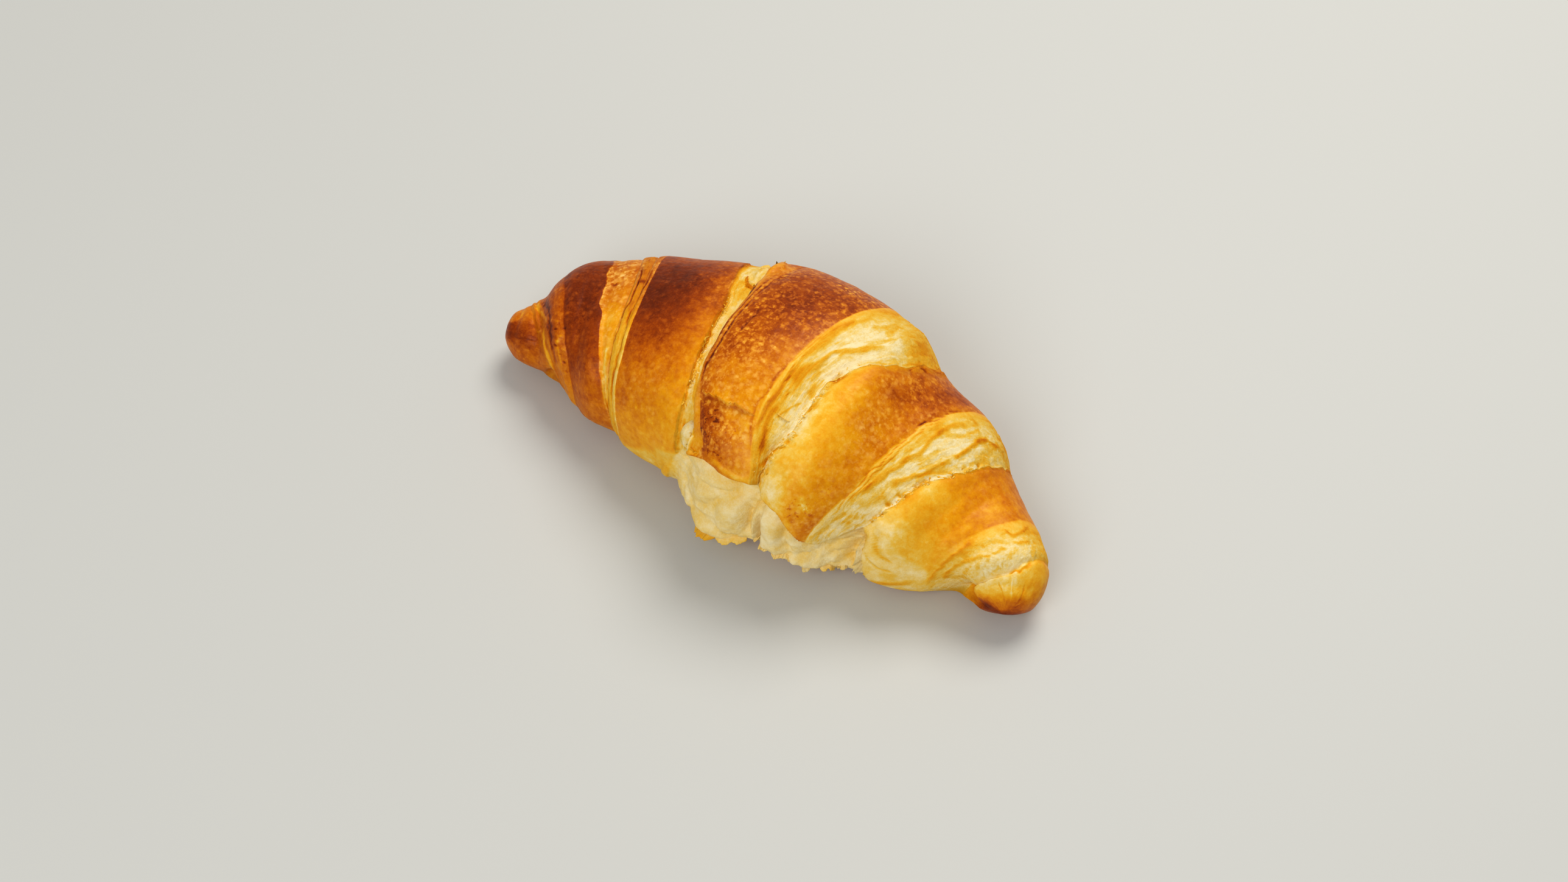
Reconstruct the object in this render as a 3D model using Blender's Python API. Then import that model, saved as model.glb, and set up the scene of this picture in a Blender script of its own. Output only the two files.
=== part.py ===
"""A butter croissant as one closed solid: a curved roll of layered dough with its wraps, the pointed flap
of the last wrap, a flattened sole and a small nub at each end.

The surface is laid out on two measures. "along" runs over the spine of the roll, in millimetres from its
middle to each tip. "round" is the angle round the roll, in degrees: 0 is the front (-Y, the hollow side of
the crescent), 90 the top, 180 the back and 270 the sole.
"""

import math

import bmesh
import bpy
import numpy as np

MM = 0.001

# ---------------------------------------------------------------- driving dimensions (mm and degrees)
HALF_LENGTH = 82.0  # half the spine, measured along its curve
SPINE = [  # the middle line of the roll, seen from above
    (-82, -2.5),
    (-69, 3),
    (-63.5, 6.5),
    (-40.9, 11.2),
    (-18.2, 13.3),
    (0.8, 10.2),
    (20.5, 8.9),
    (42.6, 8),
    (61, 3.8),
    (68.5, 1.2),
    (73, -2.8),
    (75.8, -8.3),
]
TURN_EASE = 9.0  # the rings turn as gently as the mean direction of the spine this far either way
HALF_WIDTH = [  # (along, half the width of the roll)
    (-82, 0),
    (-81.3, 2.9),
    (-79, 6.1),
    (-75, 8.8),
    (-71.5, 10.2),
    (-69, 13.1),
    (-65.5, 16),
    (-60, 19.8),
    (-52, 23.3),
    (-40, 26),
    (-25, 30.5),
    (-8, 34.4),
    (8, 35.7),
    (22, 35.2),
    (36, 27.8),
    (50, 24.2),
    (60, 17.4),
    (66, 14.1),
    (70, 12.7),
    (73, 12.2),
    (77, 9.6),
    (80, 6.4),
    (81.4, 3.4),
    (82, 0),
]
NUB_ROUNDNESS, BODY_ROUNDNESS = 0.85, 0.68  # height over width, at the nubs and in the body
NUB_UNDERSIDE, BODY_UNDERSIDE = 0.95, 0.6  # power of the underside's curve: 1 is round, less is flatter
NUB_HALF_WIDTH, BODY_HALF_WIDTH = 8.0, 20.0  # half-widths at which those hold
BELLY = 0.45  # how high the widest line lies, as a share of the height
SIDE_SQUARENESS, TOP_SQUARENESS = 0.9, 0.95  # powers of the section's curve: 1 is round, less is squarer
SOLE_CUT = 1.2  # how much of the rounded underside is flattened away
LIFT = [  # (along, height of the underside)
    (-82, 9),
    (-78, 4.4),
    (-72, 3.3),
    (-66, 3.2),
    (-58, 0),
    (60, 0),
    (68, 3.2),
    (74, 4.4),
    (79, 4),
    (82, 8.7),
]

SOLE_FROM, SOLE_TO = 232.0, 328.0  # the stretch round the roll that the sole takes
RELIEF_FADE = 22.0  # degrees over which the wraps flatten into the sole
BACK_FROM, BACK_TO = 75.0, 150.0  # between these the wraps' relief drops to its share at the back
BACK_RELIEF = 0.55

# Where each edge of the wraps runs: (round, along). The rolled edges lean towards the middle at the front.
EDGES = {
    "nub_left": [
        (-40, -65), (0, -67), (30, -70), (60, -72),
        (90, -73.8), (130, -75.8), (240, -76.5),
    ],
    "collar_left": [
        (-40, -60), (0, -63), (22, -65.5), (45, -67.4),
        (70, -69.2), (130, -73), (240, -73.5),
    ],
    "collar_right": [
        (-40, -56), (0, -58.5), (30, -61), (60, -63.5),
        (90, -65), (130, -66.5), (240, -67),
    ],
    "wrap1_right": [
        (-40, -37), (0, -41), (30, -45), (60, -50),
        (90, -54.5), (130, -56), (240, -59),
    ],
    "lip1": [
        (-40, -36), (0, -40), (30, -42.1), (60, -44.7),
        (90, -46.6), (130, -49.8), (240, -53),
    ],
    "wrap2_left": [
        (-40, -32), (0, -36), (30, -38.4), (60, -40.3),
        (90, -42.4), (130, -45.2), (240, -49),
    ],
    "wrap2_right": [
        (-40, -6), (0, -7), (20, -9.2), (45, -13),
        (60, -16.2), (90, -20.4), (130, -25), (240, -30),
    ],
    "flap_left": [
        (-40, 1), (15, 1), (30, 2), (38, -1), (50, -6),
        (65, -10.5), (90, -13.5), (130, -14.5), (240, -19),
    ],
    "flap_right": [
        (-40, 14), (15, 14.5), (30, 14), (45, 11), (65, 8.5),
        (85, 7.5), (110, 9), (135, 11.5), (240, 16),
    ],
    "wrap4_left": [
        (-40, 15), (15, 15.2), (30, 14.8), (44, 14.9), (56, 16.6), (75, 16.8),
        (88, 17.5), (96, 20), (105, 25.2), (115, 28), (140, 31), (240, 34),
    ],
    "wrap4_right": [
        (-40, 26), (3, 29), (20, 31), (36, 33.6), (50, 35.4), (64, 36.6),
        (86, 38.4), (100, 39.6), (122, 42), (140, 43.4), (240, 47),
    ],
    "wrap5_left": [
        (-40, 33), (12, 38), (28, 41.5), (36, 43.3), (50, 45.6), (60, 46.8),
        (76, 48.3), (86, 50.3), (95, 51.7), (106, 53), (145, 55), (240, 58.5),
    ],
    "wrap5_right": [
        (-40, 55), (5, 59.5), (30, 61.5), (60, 64.3),
        (90, 66.2), (113, 66.8), (240, 68),
    ],
    "nub_right": [
        (-40, 71), (0, 74), (15, 76), (33, 77),
        (60, 77.4), (90, 77), (120, 75), (240, 73.5),
    ],
}

# The lanes between the edges, from the left tip to the right one: how many columns each has, and its
# profile of (place across the lane, height over the smooth roll). A place that steps back makes an overhang.
LANES = {
    "left_nub": (8, [(0, 0), (0.3, 0.2), (0.7, 0), (1, -0.8)]),
    "left_groove": (3, [(0, -0.8), (0.5, -0.9), (1, 0.4)]),
    "collar": (4, [(0, 0.4), (0.4, 1.0), (0.8, 0.7), (1, 0.5)]),
    "wrap1": (7, [(0, 0.5), (0.2, 1.2), (0.6, 1.0), (0.9, -0.2), (1, -0.8)]),
    "strip1": (6, [
        (0, -0.8), (0.2, -1.4), (0.6, -1.2), (0.85, -1.3), (0.97, -1.5), (0.93, -0.8), (1, 0.1),
    ]),
    "lips1": (5, [(0, 0.1), (0.3, 0.5), (0.55, 0.3), (0.68, 0.2), (0.62, 0.9), (0.8, 1.6), (1, 1.8)]),
    "wrap2": (11, [(0, 1.8), (0.15, 2.1), (0.45, 1.4), (0.75, 0.2), (0.92, -0.8), (1, -1.2)]),
    "strip2": (9, [
        (0, -1.2), (0.06, -2.0), (0.3, -2.4), (0.6, -2.6), (0.78, -2.9),
        (0.66, -1.4), (0.64, 0.2), (0.74, 1.4), (1, 2.1),
    ]),
    "flap": (11, [(0, 2.1), (0.12, 2.6), (0.45, 3.0), (0.8, 2.4), (1, 1.8)]),
    "strip3": (10, [(0, 1.8), (0.25, 1.0), (0.5, 0.1), (0.75, -1.0), (0.93, -1.8), (1, -1.2)]),
    "wrap4": (10, [(0, -1.2), (0.08, -0.3), (0.3, 0.8), (0.7, 1.5), (0.9, 1.6), (1, 1.3)]),
    "strip4": (10, [(0, 1.3), (0.25, 0.6), (0.5, -0.1), (0.75, -0.9), (0.93, -1.5), (1, -0.9)]),
    "wrap5": (8, [(0, -0.9), (0.1, -0.1), (0.4, 0.9), (0.75, 1.0), (1, 0.8)]),
    "strip5": (7, [(0, 0.8), (0.3, 0.5), (0.6, 0.1), (0.85, -0.2), (1, -1.0)]),
    "right_nub": (9, [(0, -1.0), (0.12, 0.2), (0.35, 0.6), (0.7, 0.2), (1, 0)]),
}

# The pale skirt of dough under the flap and the fourth wrap: its upper line, as (along, round).
SKIRT_TOP = [
    (-16, -34), (-10, 1), (-6, 15), (-1.5, 21), (4, 25.5), (9.5, 24.5),
    (14, 26.5), (15.8, 25.5), (16.6, 20.5), (18.5, 19.3), (21.2, 18.3),
    (25.3, 10.5), (28, 5.5), (31, 2.8), (34.5, 11), (39.2, 23), (41.5, 28),
    (43, 22), (43.8, 12), (45.5, -5), (48, -34),
]
PINCHES = [  # soft hollows at the nubs and low on the skirt: (along, round, half-length, half-angle, height)
    (-67.6, -27, 2.1, 28, -3.0),
    (73.8, -22, 5.7, 43, -5.0),
    (-7, -20, 6, 18, -1.8),
    (17.5, -18, 6, 15, -2.2),
]
SKIRT_LIP = 3.0  # how far below its upper line the skirt takes over from the wraps
SKIRT_PROFILE = [  # (millimetres below the line, height)
    (0, -2.6),
    (3, -2.4),
    (8, -1.0),
    (15, 1.5),
    (24, 3.3),
    (35, 1.6),
]
SKIRT_STARTS, SKIRT_FULL = -17, -3  # the skirt swells from nothing between these places along the roll
DEGREE = 0.5  # about how many millimetres one degree round the roll is, at the skirt
SKIRT_FOLDS = [  # (along, half-width, height)
    (14, 2.2, -1.6),
    (39.5, 2.6, -2.2),
    (-3, 3.0, -0.6),
    (27, 3.5, -0.5),
]

ROWS = [(0, -32), (16, 40), (35, 232), (40, 328)]  # (row, round): closest at the front, over the skirt


# ---------------------------------------------------------------- the surface
def smooth_through(points, at):
    """A smooth curve through the points with no overshoot between them (monotone cubic)."""
    xs, ys = np.array(points, float).T
    step, slope = np.diff(xs), np.diff(ys) / np.diff(xs)
    inner = np.zeros(len(xs))
    before, after = slope[:-1], slope[1:]
    weight_before, weight_after = 2 * step[1:] + step[:-1], step[1:] + 2 * step[:-1]
    same_way = before * after > 0
    inner[1:-1][same_way] = ((weight_before + weight_after)[same_way]) / (
        weight_before[same_way] / before[same_way] + weight_after[same_way] / after[same_way]
    )
    inner[0], inner[-1] = slope[0], slope[-1]
    at = np.clip(at, xs[0], xs[-1])
    k = np.clip(np.searchsorted(xs, at, side="right") - 1, 0, len(xs) - 2)
    t = (at - xs[k]) / step[k]
    return (
        (1 + 2 * t) * (1 - t) ** 2 * ys[k]
        + t * (1 - t) ** 2 * step[k] * inner[k]
        + t * t * (3 - 2 * t) * ys[k + 1]
        + t * t * (t - 1) * step[k] * inner[k + 1]
    )


def spline_through(points, at):
    """A natural cubic spline through the points, for the spine, whose bend must change gently."""
    xs, ys = np.array(points, float).T
    step = np.diff(xs)
    count = len(xs)
    matrix, right = np.eye(count), np.zeros(count)
    for k in range(1, count - 1):
        matrix[k, k - 1 : k + 2] = step[k - 1], 2 * (step[k - 1] + step[k]), step[k]
        right[k] = 3 * ((ys[k + 1] - ys[k]) / step[k] - (ys[k] - ys[k - 1]) / step[k - 1])
    bend = np.linalg.solve(matrix, right)
    k = np.clip(np.searchsorted(xs, at, side="right") - 1, 0, count - 2)
    u = at - xs[k]
    rise = (ys[k + 1] - ys[k]) / step[k] - step[k] * (2 * bend[k] + bend[k + 1]) / 3
    return ys[k] + u * (rise + u * (bend[k] + u * (bend[k + 1] - bend[k]) / (3 * step[k])))


def smoothstep(low, high, value):
    t = np.clip((value - low) / (high - low), 0, 1)
    return t * t * (3 - 2 * t)


def spine_at(along):
    """Places on the spine and its directions, seen from above, at these distances from its middle."""
    corners = np.array(SPINE, float)
    chord = np.concatenate([[0], np.cumsum(np.hypot(*np.diff(corners, axis=0).T))])
    fine = np.linspace(0, chord[-1], 2001)
    line = np.stack([spline_through(list(zip(chord, corners[:, i])), fine) for i in (0, 1)], axis=-1)
    length = np.concatenate([[0], np.cumsum(np.hypot(*np.diff(line, axis=0).T))])
    length = (length / length[-1] * 2 - 1) * HALF_LENGTH
    direction = np.gradient(line, axis=0)
    direction /= np.linalg.norm(direction, axis=1)[:, None]
    ease = np.minimum(TURN_EASE, HALF_LENGTH - np.abs(length))
    near = [length + ease * share for share in (-1, -0.5, 0, 0.5, 1)]
    direction = np.mean([[np.interp(at, length, direction[:, i]) for i in (0, 1)] for at in near], axis=0).T
    direction /= np.linalg.norm(direction, axis=1)[:, None]
    place = np.stack([np.interp(along, length, line[:, i]) for i in (0, 1)], axis=-1)
    return place, np.stack([np.interp(along, length, direction[:, i]) for i in (0, 1)], axis=-1)


def edge_at(name, around):
    """Where an edge runs at these angles. Under the sole it crosses straight from the back to the front."""
    front, back = SOLE_TO - 360, SOLE_FROM
    seen = smooth_through(EDGES[name], np.clip(around, front, back))
    across = np.clip((around - back) / (SOLE_TO - back), 0, 1)
    ends = smooth_through(EDGES[name], np.array([front, back], float))
    return np.where(around > back, ends[1] + across * (ends[0] - ends[1]), seen)


def profile_at(points, samples, width=12.0):
    """Places and heights evenly spaced along a lane's profile, on a lane about this wide."""
    corners = np.array(points, float)
    gaps = np.hypot(np.diff(corners[:, 0]) * width, np.diff(corners[:, 1]))
    run = np.concatenate([[0], np.cumsum(gaps)]) / gaps.sum()
    return (
        smooth_through(list(zip(run, corners[:, 0])), samples),
        smooth_through(list(zip(run, corners[:, 1])), samples),
    )


def skirt_cover(along, around):
    """Height of the pale skirt over the smooth roll, with its folds, and how fully it covers a place."""
    step = 0.5
    slope = (smooth_through(SKIRT_TOP, along + step) - smooth_through(SKIRT_TOP, along - step)) * DEGREE
    below = (smooth_through(SKIRT_TOP, along) - around) * DEGREE / np.hypot(1, slope)
    height = smooth_through(SKIRT_PROFILE, np.maximum(below, 0)) * smoothstep(SKIRT_STARTS, SKIRT_FULL, along)
    for centre, half_width, depth in SKIRT_FOLDS:
        height = height + depth * np.exp(-(((along - centre) / half_width) ** 2)) * smoothstep(0, 4, below)
    return height, smoothstep(0, SKIRT_LIP, below) * (around < 90)


def pinch_height(along, around):
    """The soft hollows at the nubs and low on the skirt."""
    height = 0.0
    for centre, angle, half_length, half_angle, depth in PINCHES:
        span = ((along - centre) / half_length) ** 2 + ((around - angle) / half_angle) ** 2
        height = height + depth * np.exp(-span)
    return height


def roll_section(along, around, height):
    """Points in millimetres on the roll, raised by height from its smooth section."""
    half = smooth_through(HALF_WIDTH, along)
    low = np.interp(along, *np.array(LIFT).T)
    body = np.clip((half - NUB_HALF_WIDTH) / (BODY_HALF_WIDTH - NUB_HALF_WIDTH), 0, 1)
    roundness = NUB_ROUNDNESS + (BODY_ROUNDNESS - NUB_ROUNDNESS) * body
    flatness = NUB_UNDERSIDE + (BODY_UNDERSIDE - NUB_UNDERSIDE) * body
    tall = 2 * half * roundness
    middle = low + tall * BELLY
    turn = np.radians(around)
    cosine, sine = np.cos(turn), np.sin(turn)
    out = half * np.sign(cosine) * np.abs(cosine) ** SIDE_SQUARENESS
    up = np.where(
        sine > 0,
        middle + (low + tall - middle) * np.abs(sine) ** TOP_SQUARENESS,
        middle - (middle - low) * np.abs(sine) ** flatness,
    )
    lean = np.hypot(cosine / np.maximum(half, 1), sine / np.maximum(tall / 2, 1))
    tip = smoothstep(0, 8, half)  # the relief dies away at the very tips
    out = out + tip * height * cosine / np.maximum(half, 1) / lean
    up = up + tip * height * sine / np.maximum(tall / 2, 1) / lean
    place, direction = spine_at(along)
    x = place[..., 0] + direction[..., 1] * out
    y = place[..., 1] - direction[..., 0] * out
    return np.stack([x, y, np.maximum(up - SOLE_CUT, 0)], axis=-1)


def croissant_points(rows):
    """The croissant's surface as a grid of points: columns from tip to tip, by rows round the roll."""
    around = np.interp(np.linspace(0, ROWS[-1][0], rows, endpoint=False), *np.array(ROWS, float).T)[None, :]
    fade = smoothstep(SOLE_TO - 360, SOLE_TO - 360 + RELIEF_FADE, around)
    fade = fade * (1 - smoothstep(SOLE_FROM - RELIEF_FADE, SOLE_FROM, around))
    back = 1 - (1 - BACK_RELIEF) * smoothstep(BACK_FROM, BACK_TO, around)
    left = np.full(around.shape, -HALF_LENGTH)
    grid = []
    for number, (columns, profile) in enumerate(LANES.values()):
        right = edge_at(list(EDGES)[number], around) if number < len(EDGES) else left * 0 + HALF_LENGTH
        even = np.linspace(0, 1, columns, endpoint=False)
        place, height = profile_at(profile, even)
        covered = skirt_cover(left + even[:, None] * (right - left), around)[1]
        place = even[:, None] + (place - even)[:, None] * fade * (1 - covered)
        along = left + place * (right - left)
        below_height, covered = skirt_cover(along, around)
        grid.append((along, height[:, None] * fade * back * (1 - covered) + below_height * fade * covered))
        left = right
    along = np.concatenate([a for a, _ in grid] + [np.full(around.shape, HALF_LENGTH)])
    height = np.concatenate([h for _, h in grid] + [np.zeros(around.shape)])
    around = np.broadcast_to(around, along.shape)
    return roll_section(along, around, height + pinch_height(along, around))


# ---------------------------------------------------------------- the build
def clear_file():
    for thing in list(bpy.data.objects):
        bpy.data.objects.remove(thing)


def baked_dough():
    """The glazed, browned crust."""
    material = bpy.data.materials.new("baked_dough")
    material.use_nodes = True
    shader = material.node_tree.nodes["Principled BSDF"]
    shader.inputs["Base Color"].default_value = (0.62, 0.29, 0.06, 1)
    shader.inputs["Roughness"].default_value = 0.45
    return material


def croissant_mesh():
    """A sphere with its poles at the two tips, each of its corners moved to the croissant's surface."""
    rows = ROWS[-1][0]
    points = croissant_points(rows)
    columns = len(points) - 1
    shape = bmesh.new()
    bmesh.ops.create_uvsphere(shape, u_segments=rows, v_segments=columns, radius=1)
    for corner in shape.verts:
        column = round(math.acos(max(-1, min(1, corner.co.z))) / math.pi * columns)
        row = round(math.atan2(-corner.co.x, corner.co.y) / math.tau * rows) % rows
        corner.co = points[column, row] * MM
    shape.normal_update()
    mesh = bpy.data.meshes.new("croissant")
    shape.to_mesh(mesh)
    shape.free()
    mesh.shade_smooth()
    return mesh


def stand_at_origin(mesh):
    """Puts the middle of the box's base on the origin."""
    corners = np.array([corner.co for corner in mesh.vertices])
    low, high = corners.min(axis=0), corners.max(axis=0)
    middle = (low + high) / 2
    for corner in mesh.vertices:
        corner.co.x -= middle[0]
        corner.co.y -= middle[1]
        corner.co.z -= low[2]


def main():
    clear_file()
    mesh = croissant_mesh()
    stand_at_origin(mesh)
    mesh.materials.append(baked_dough())
    croissant = bpy.data.objects.new("croissant", mesh)
    collection = bpy.data.collections.new("croissant")
    bpy.context.scene.collection.children.link(collection)
    collection.objects.link(croissant)


main()
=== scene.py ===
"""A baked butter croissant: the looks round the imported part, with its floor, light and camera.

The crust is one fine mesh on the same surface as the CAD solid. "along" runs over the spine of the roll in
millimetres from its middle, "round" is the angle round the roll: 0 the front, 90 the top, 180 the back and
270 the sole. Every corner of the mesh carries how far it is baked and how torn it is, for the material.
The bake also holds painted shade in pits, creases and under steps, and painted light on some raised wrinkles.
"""

import math

import bpy
import numpy as np
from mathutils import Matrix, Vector


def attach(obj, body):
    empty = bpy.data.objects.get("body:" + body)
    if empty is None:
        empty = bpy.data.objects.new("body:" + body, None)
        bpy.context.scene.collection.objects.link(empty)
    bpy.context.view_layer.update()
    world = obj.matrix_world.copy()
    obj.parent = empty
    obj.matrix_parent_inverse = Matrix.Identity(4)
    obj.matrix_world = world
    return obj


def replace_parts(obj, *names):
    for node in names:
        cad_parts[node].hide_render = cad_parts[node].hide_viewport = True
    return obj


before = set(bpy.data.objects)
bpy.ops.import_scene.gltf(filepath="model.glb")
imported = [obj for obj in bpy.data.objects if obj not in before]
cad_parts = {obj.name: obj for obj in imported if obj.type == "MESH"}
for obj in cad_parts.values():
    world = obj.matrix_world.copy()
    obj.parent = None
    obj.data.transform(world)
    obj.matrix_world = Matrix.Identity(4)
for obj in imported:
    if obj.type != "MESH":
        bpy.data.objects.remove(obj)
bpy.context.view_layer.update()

MM = 0.001

# ---------------------------------------------------------------- the roll, as in the CAD model (mm, degrees)
HALF_LENGTH = 82.0
SPINE = [
    (-82, -2.5), (-69, 3), (-63.5, 6.5), (-40.9, 11.2), (-18.2, 13.3), (0.8, 10.2),
    (20.5, 8.9), (42.6, 8), (61, 3.8), (68.5, 1.2), (73, -2.8), (75.8, -8.3),
]
TURN_EASE = 9.0
HALF_WIDTH = [
    (-82, 0), (-81.3, 2.9), (-79, 6.1), (-75, 8.8), (-71.5, 10.2), (-69, 13.1), (-65.5, 16), (-60, 19.8),
    (-52, 23.3), (-40, 26), (-25, 30.5), (-8, 34.4), (8, 35.7), (22, 35.2), (36, 27.8), (50, 24.2),
    (60, 17.4), (66, 14.1), (70, 12.7), (73, 12.2), (77, 9.6), (80, 6.4), (81.4, 3.4), (82, 0),
]
NUB_ROUNDNESS, BODY_ROUNDNESS = 0.85, 0.68
NUB_UNDERSIDE, BODY_UNDERSIDE = 0.95, 0.6
NUB_HALF_WIDTH, BODY_HALF_WIDTH = 8.0, 20.0
BELLY = 0.45
SOLE_CUT = 1.2
LIFT = [
    (-82, 9), (-78, 4.4), (-72, 3.3), (-66, 3.2), (-58, 0), (60, 0), (68, 3.2), (74, 4.4), (79, 4), (82, 8.7),
]
SOLE_FROM, SOLE_TO = 232.0, 328.0
RELIEF_FADE = 22.0
BACK_FROM, BACK_TO = 75.0, 150.0
BACK_RELIEF = 0.55
EDGES = {  # (round, along)
    "nub_left": [(-40, -65), (0, -67), (30, -70), (60, -72), (90, -73.8), (130, -75.8), (240, -76.5)],
    "collar_left": [(-40, -60), (0, -63), (22, -65.5), (45, -67.4), (70, -69.2), (130, -73), (240, -73.5)],
    "collar_right": [(-40, -56), (0, -58.5), (30, -61), (60, -63.5), (90, -65), (130, -66.5), (240, -67)],
    "wrap1_right": [(-40, -37), (0, -41), (30, -45), (60, -50), (90, -54.5), (130, -56), (240, -59)],
    "lip1": [(-40, -36), (0, -40), (30, -42.1), (60, -44.7), (90, -46.6), (130, -49.8), (240, -53)],
    "wrap2_left": [(-40, -32), (0, -36), (30, -38.4), (60, -40.3), (90, -42.4), (130, -45.2), (240, -49)],
    "wrap2_right": [
        (-40, -6), (0, -7), (20, -9.2), (45, -13), (60, -16.2), (90, -20.4), (130, -25), (240, -30),
    ],
    "flap_left": [
        (-40, 1), (15, 1), (30, 2), (38, -1), (50, -6), (65, -10.5), (90, -13.5), (130, -14.5), (240, -19),
    ],
    "flap_right": [
        (-40, 14), (15, 14.5), (30, 14), (45, 11), (65, 8.5), (85, 7.5), (110, 9), (135, 11.5), (240, 16),
    ],
    "wrap4_left": [
        (-40, 15), (15, 15.2), (30, 14.8), (44, 14.9), (56, 16.6), (75, 16.8), (88, 17.5), (96, 20),
        (105, 25.2), (115, 28), (140, 31), (240, 34),
    ],
    "wrap4_right": [
        (-40, 26), (3, 29), (20, 31), (36, 33.6), (50, 35.4), (64, 36.6), (86, 38.4), (100, 39.6), (122, 42),
        (140, 43.4), (240, 47),
    ],
    "wrap5_left": [
        (-40, 33), (12, 38), (28, 41.5), (36, 43.3), (50, 45.6), (60, 46.8), (76, 48.3), (86, 50.3),
        (95, 51.7), (106, 53), (145, 55), (240, 58.5),
    ],
    "wrap5_right": [(-40, 55), (5, 59.5), (30, 61.5), (60, 64.3), (90, 66.2), (113, 66.8), (240, 68)],
    "nub_right": [(-40, 71), (0, 74), (15, 76), (33, 77), (60, 77.4), (90, 77), (120, 75), (240, 73.5)],
}
SKIRT_TOP = [
    (-16, -34), (-10, 1), (-6, 15), (-1.5, 21), (4, 25.5), (9.5, 24.5), (14, 26.5), (15.8, 25.5),
    (16.6, 20.5), (18.5, 19.3), (21.2, 18.3), (25.3, 10.5), (28, 5.5), (31, 2.8), (34.5, 11), (39.2, 23),
    (41.5, 28), (43, 22), (43.8, 12), (45.5, -5), (48, -34),
]
PINCHES = [
    (-67.6, -27, 2.1, 28, -3.0), (73.8, -22, 5.7, 43, -5.0), (-7, -20, 6, 18, -1.8),
    (17.5, -18, 6, 15, -2.2),
]
SKIRT_PROFILE = [(0, -2.6), (3, -2.4), (8, -1.0), (15, 1.5), (24, 3.3), (35, 1.6)]
SKIRT_STARTS, SKIRT_FULL = -17, -3
DEGREE = 0.5
SKIRT_FOLDS = [(14, 2.2, -1.6), (39.5, 2.6, -2.2), (-3, 3.0, -0.6), (27, 3.5, -0.5)]

# ---------------------------------------------------------------- the looks
LANE_WIDTH = 10.0  # a usual width of a lane, for patterns that run along it
LANE_SPACING = 40  # keeps the pattern of one lane apart from the next
LAYER_WIDTH = 1.3  # of the thin layers in a torn strip
LAYER_STEP = 0.3
CRUST_LUMP, CRUST_BLISTER = 0.3, 0.12  # heights on the glazed crust
TORN_LUMP, TORN_GRAIN = 0.3, 0.14  # heights on the torn strips
SKIRT_TORN, APRON_TORN, FLAKE_TORN = 0.7, 0.5, 0.6  # how torn they look, from 0 to 1
SOLE_BLEND_FRONT = (-40, -26)  # round: the sole's own brown is full at the first and gone at the second
SOLE_BLEND_BACK = (220, 238)
NUB_SOLE_STARTS, NUB_SOLE_FULL, NUB_SOLE_DROP = 52, 60, 6  # towards the right nub that brown begins lower
CARRIED = ("bake", "torn", "strand", "across", "speck", "mottle")
SKIRT_LIP = 1.2  # the fine mesh can hold a sharper crease than the solid
FINE_ROWS = [(0, -32), (84, 40), (170, 130), (196, 232), (208, 328)]
# Lanes between the edges: columns, then the profile (place across the lane, height).
LANES = {
    "left_nub": (22, [(0, 0), (0.3, 0.2), (0.7, 0), (1, -0.8)]),
    "left_groove": (12, [(0, -0.8), (0.25, -0.2), (0.5, -0.7), (0.75, 0.1), (1, 0.4)]),
    "collar": (14, [(0, 0.4), (0.4, 1.0), (0.8, 0.7), (1, 0.5)]),
    "wrap1": (24, [(0, 0.5), (0.2, 1.2), (0.6, 1.0), (0.9, -0.2), (1, -0.8)]),
    "strip1": (24, [(0, -0.8), (0.2, -1.4), (0.6, -1.2), (0.85, -1.3), (0.97, -1.5), (0.93, -0.8), (1, 0.1)]),
    "lips1": (24, [(0, 0.1), (0.3, 0.5), (0.55, 0.3), (0.68, 0.2), (0.62, 0.9), (0.8, 1.6), (1, 1.8)]),
    "wrap2": (44, [(0, 1.8), (0.15, 2.1), (0.45, 1.4), (0.75, 0.2), (0.92, -0.8), (1, -1.2)]),
    "strip2": (40, [
        (0, -1.2), (0.06, -2.0), (0.3, -2.4), (0.6, -2.6), (0.78, -2.9),
        (0.66, -1.4), (0.64, 0.2), (0.74, 1.4), (1, 2.1),
    ]),
    "flap": (44, [(0, 2.1), (0.12, 2.6), (0.45, 3.0), (0.8, 2.4), (1, 1.8)]),
    "strip3": (46, [(0, 1.8), (0.25, 1.0), (0.5, 0.1), (0.75, -1.0), (0.93, -1.8), (1, -1.2)]),
    "wrap4": (38, [(0, -1.2), (0.08, -0.3), (0.3, 0.8), (0.7, 1.5), (0.9, 1.6), (1, 1.3)]),
    "strip4": (44, [(0, 1.3), (0.25, 0.6), (0.5, -0.1), (0.75, -0.9), (0.93, -1.5), (1, -0.9)]),
    "wrap5": (28, [(0, -0.9), (0.1, -0.1), (0.4, 0.9), (0.75, 1.0), (1, 0.8)]),
    "strip5": (28, [(0, 0.8), (0.3, 0.5), (0.6, 0.1), (0.85, -0.2), (1, -1.0)]),
    "right_nub": (24, [(0, -1.0), (0.12, 0.2), (0.35, 0.6), (0.7, 0.2), (1, 0)]),
}
# How the edges wander: (size in mm, wavelength in mm).
EDGE_WANDER = {
    "": (0.35, 9.0), "wrap1_right": (0.8, 5), "wrap2_right": (1.0, 4.5), "wrap4_left": (1.2, 5.5),
    "wrap5_left": (0.9, 6),
}

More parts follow.
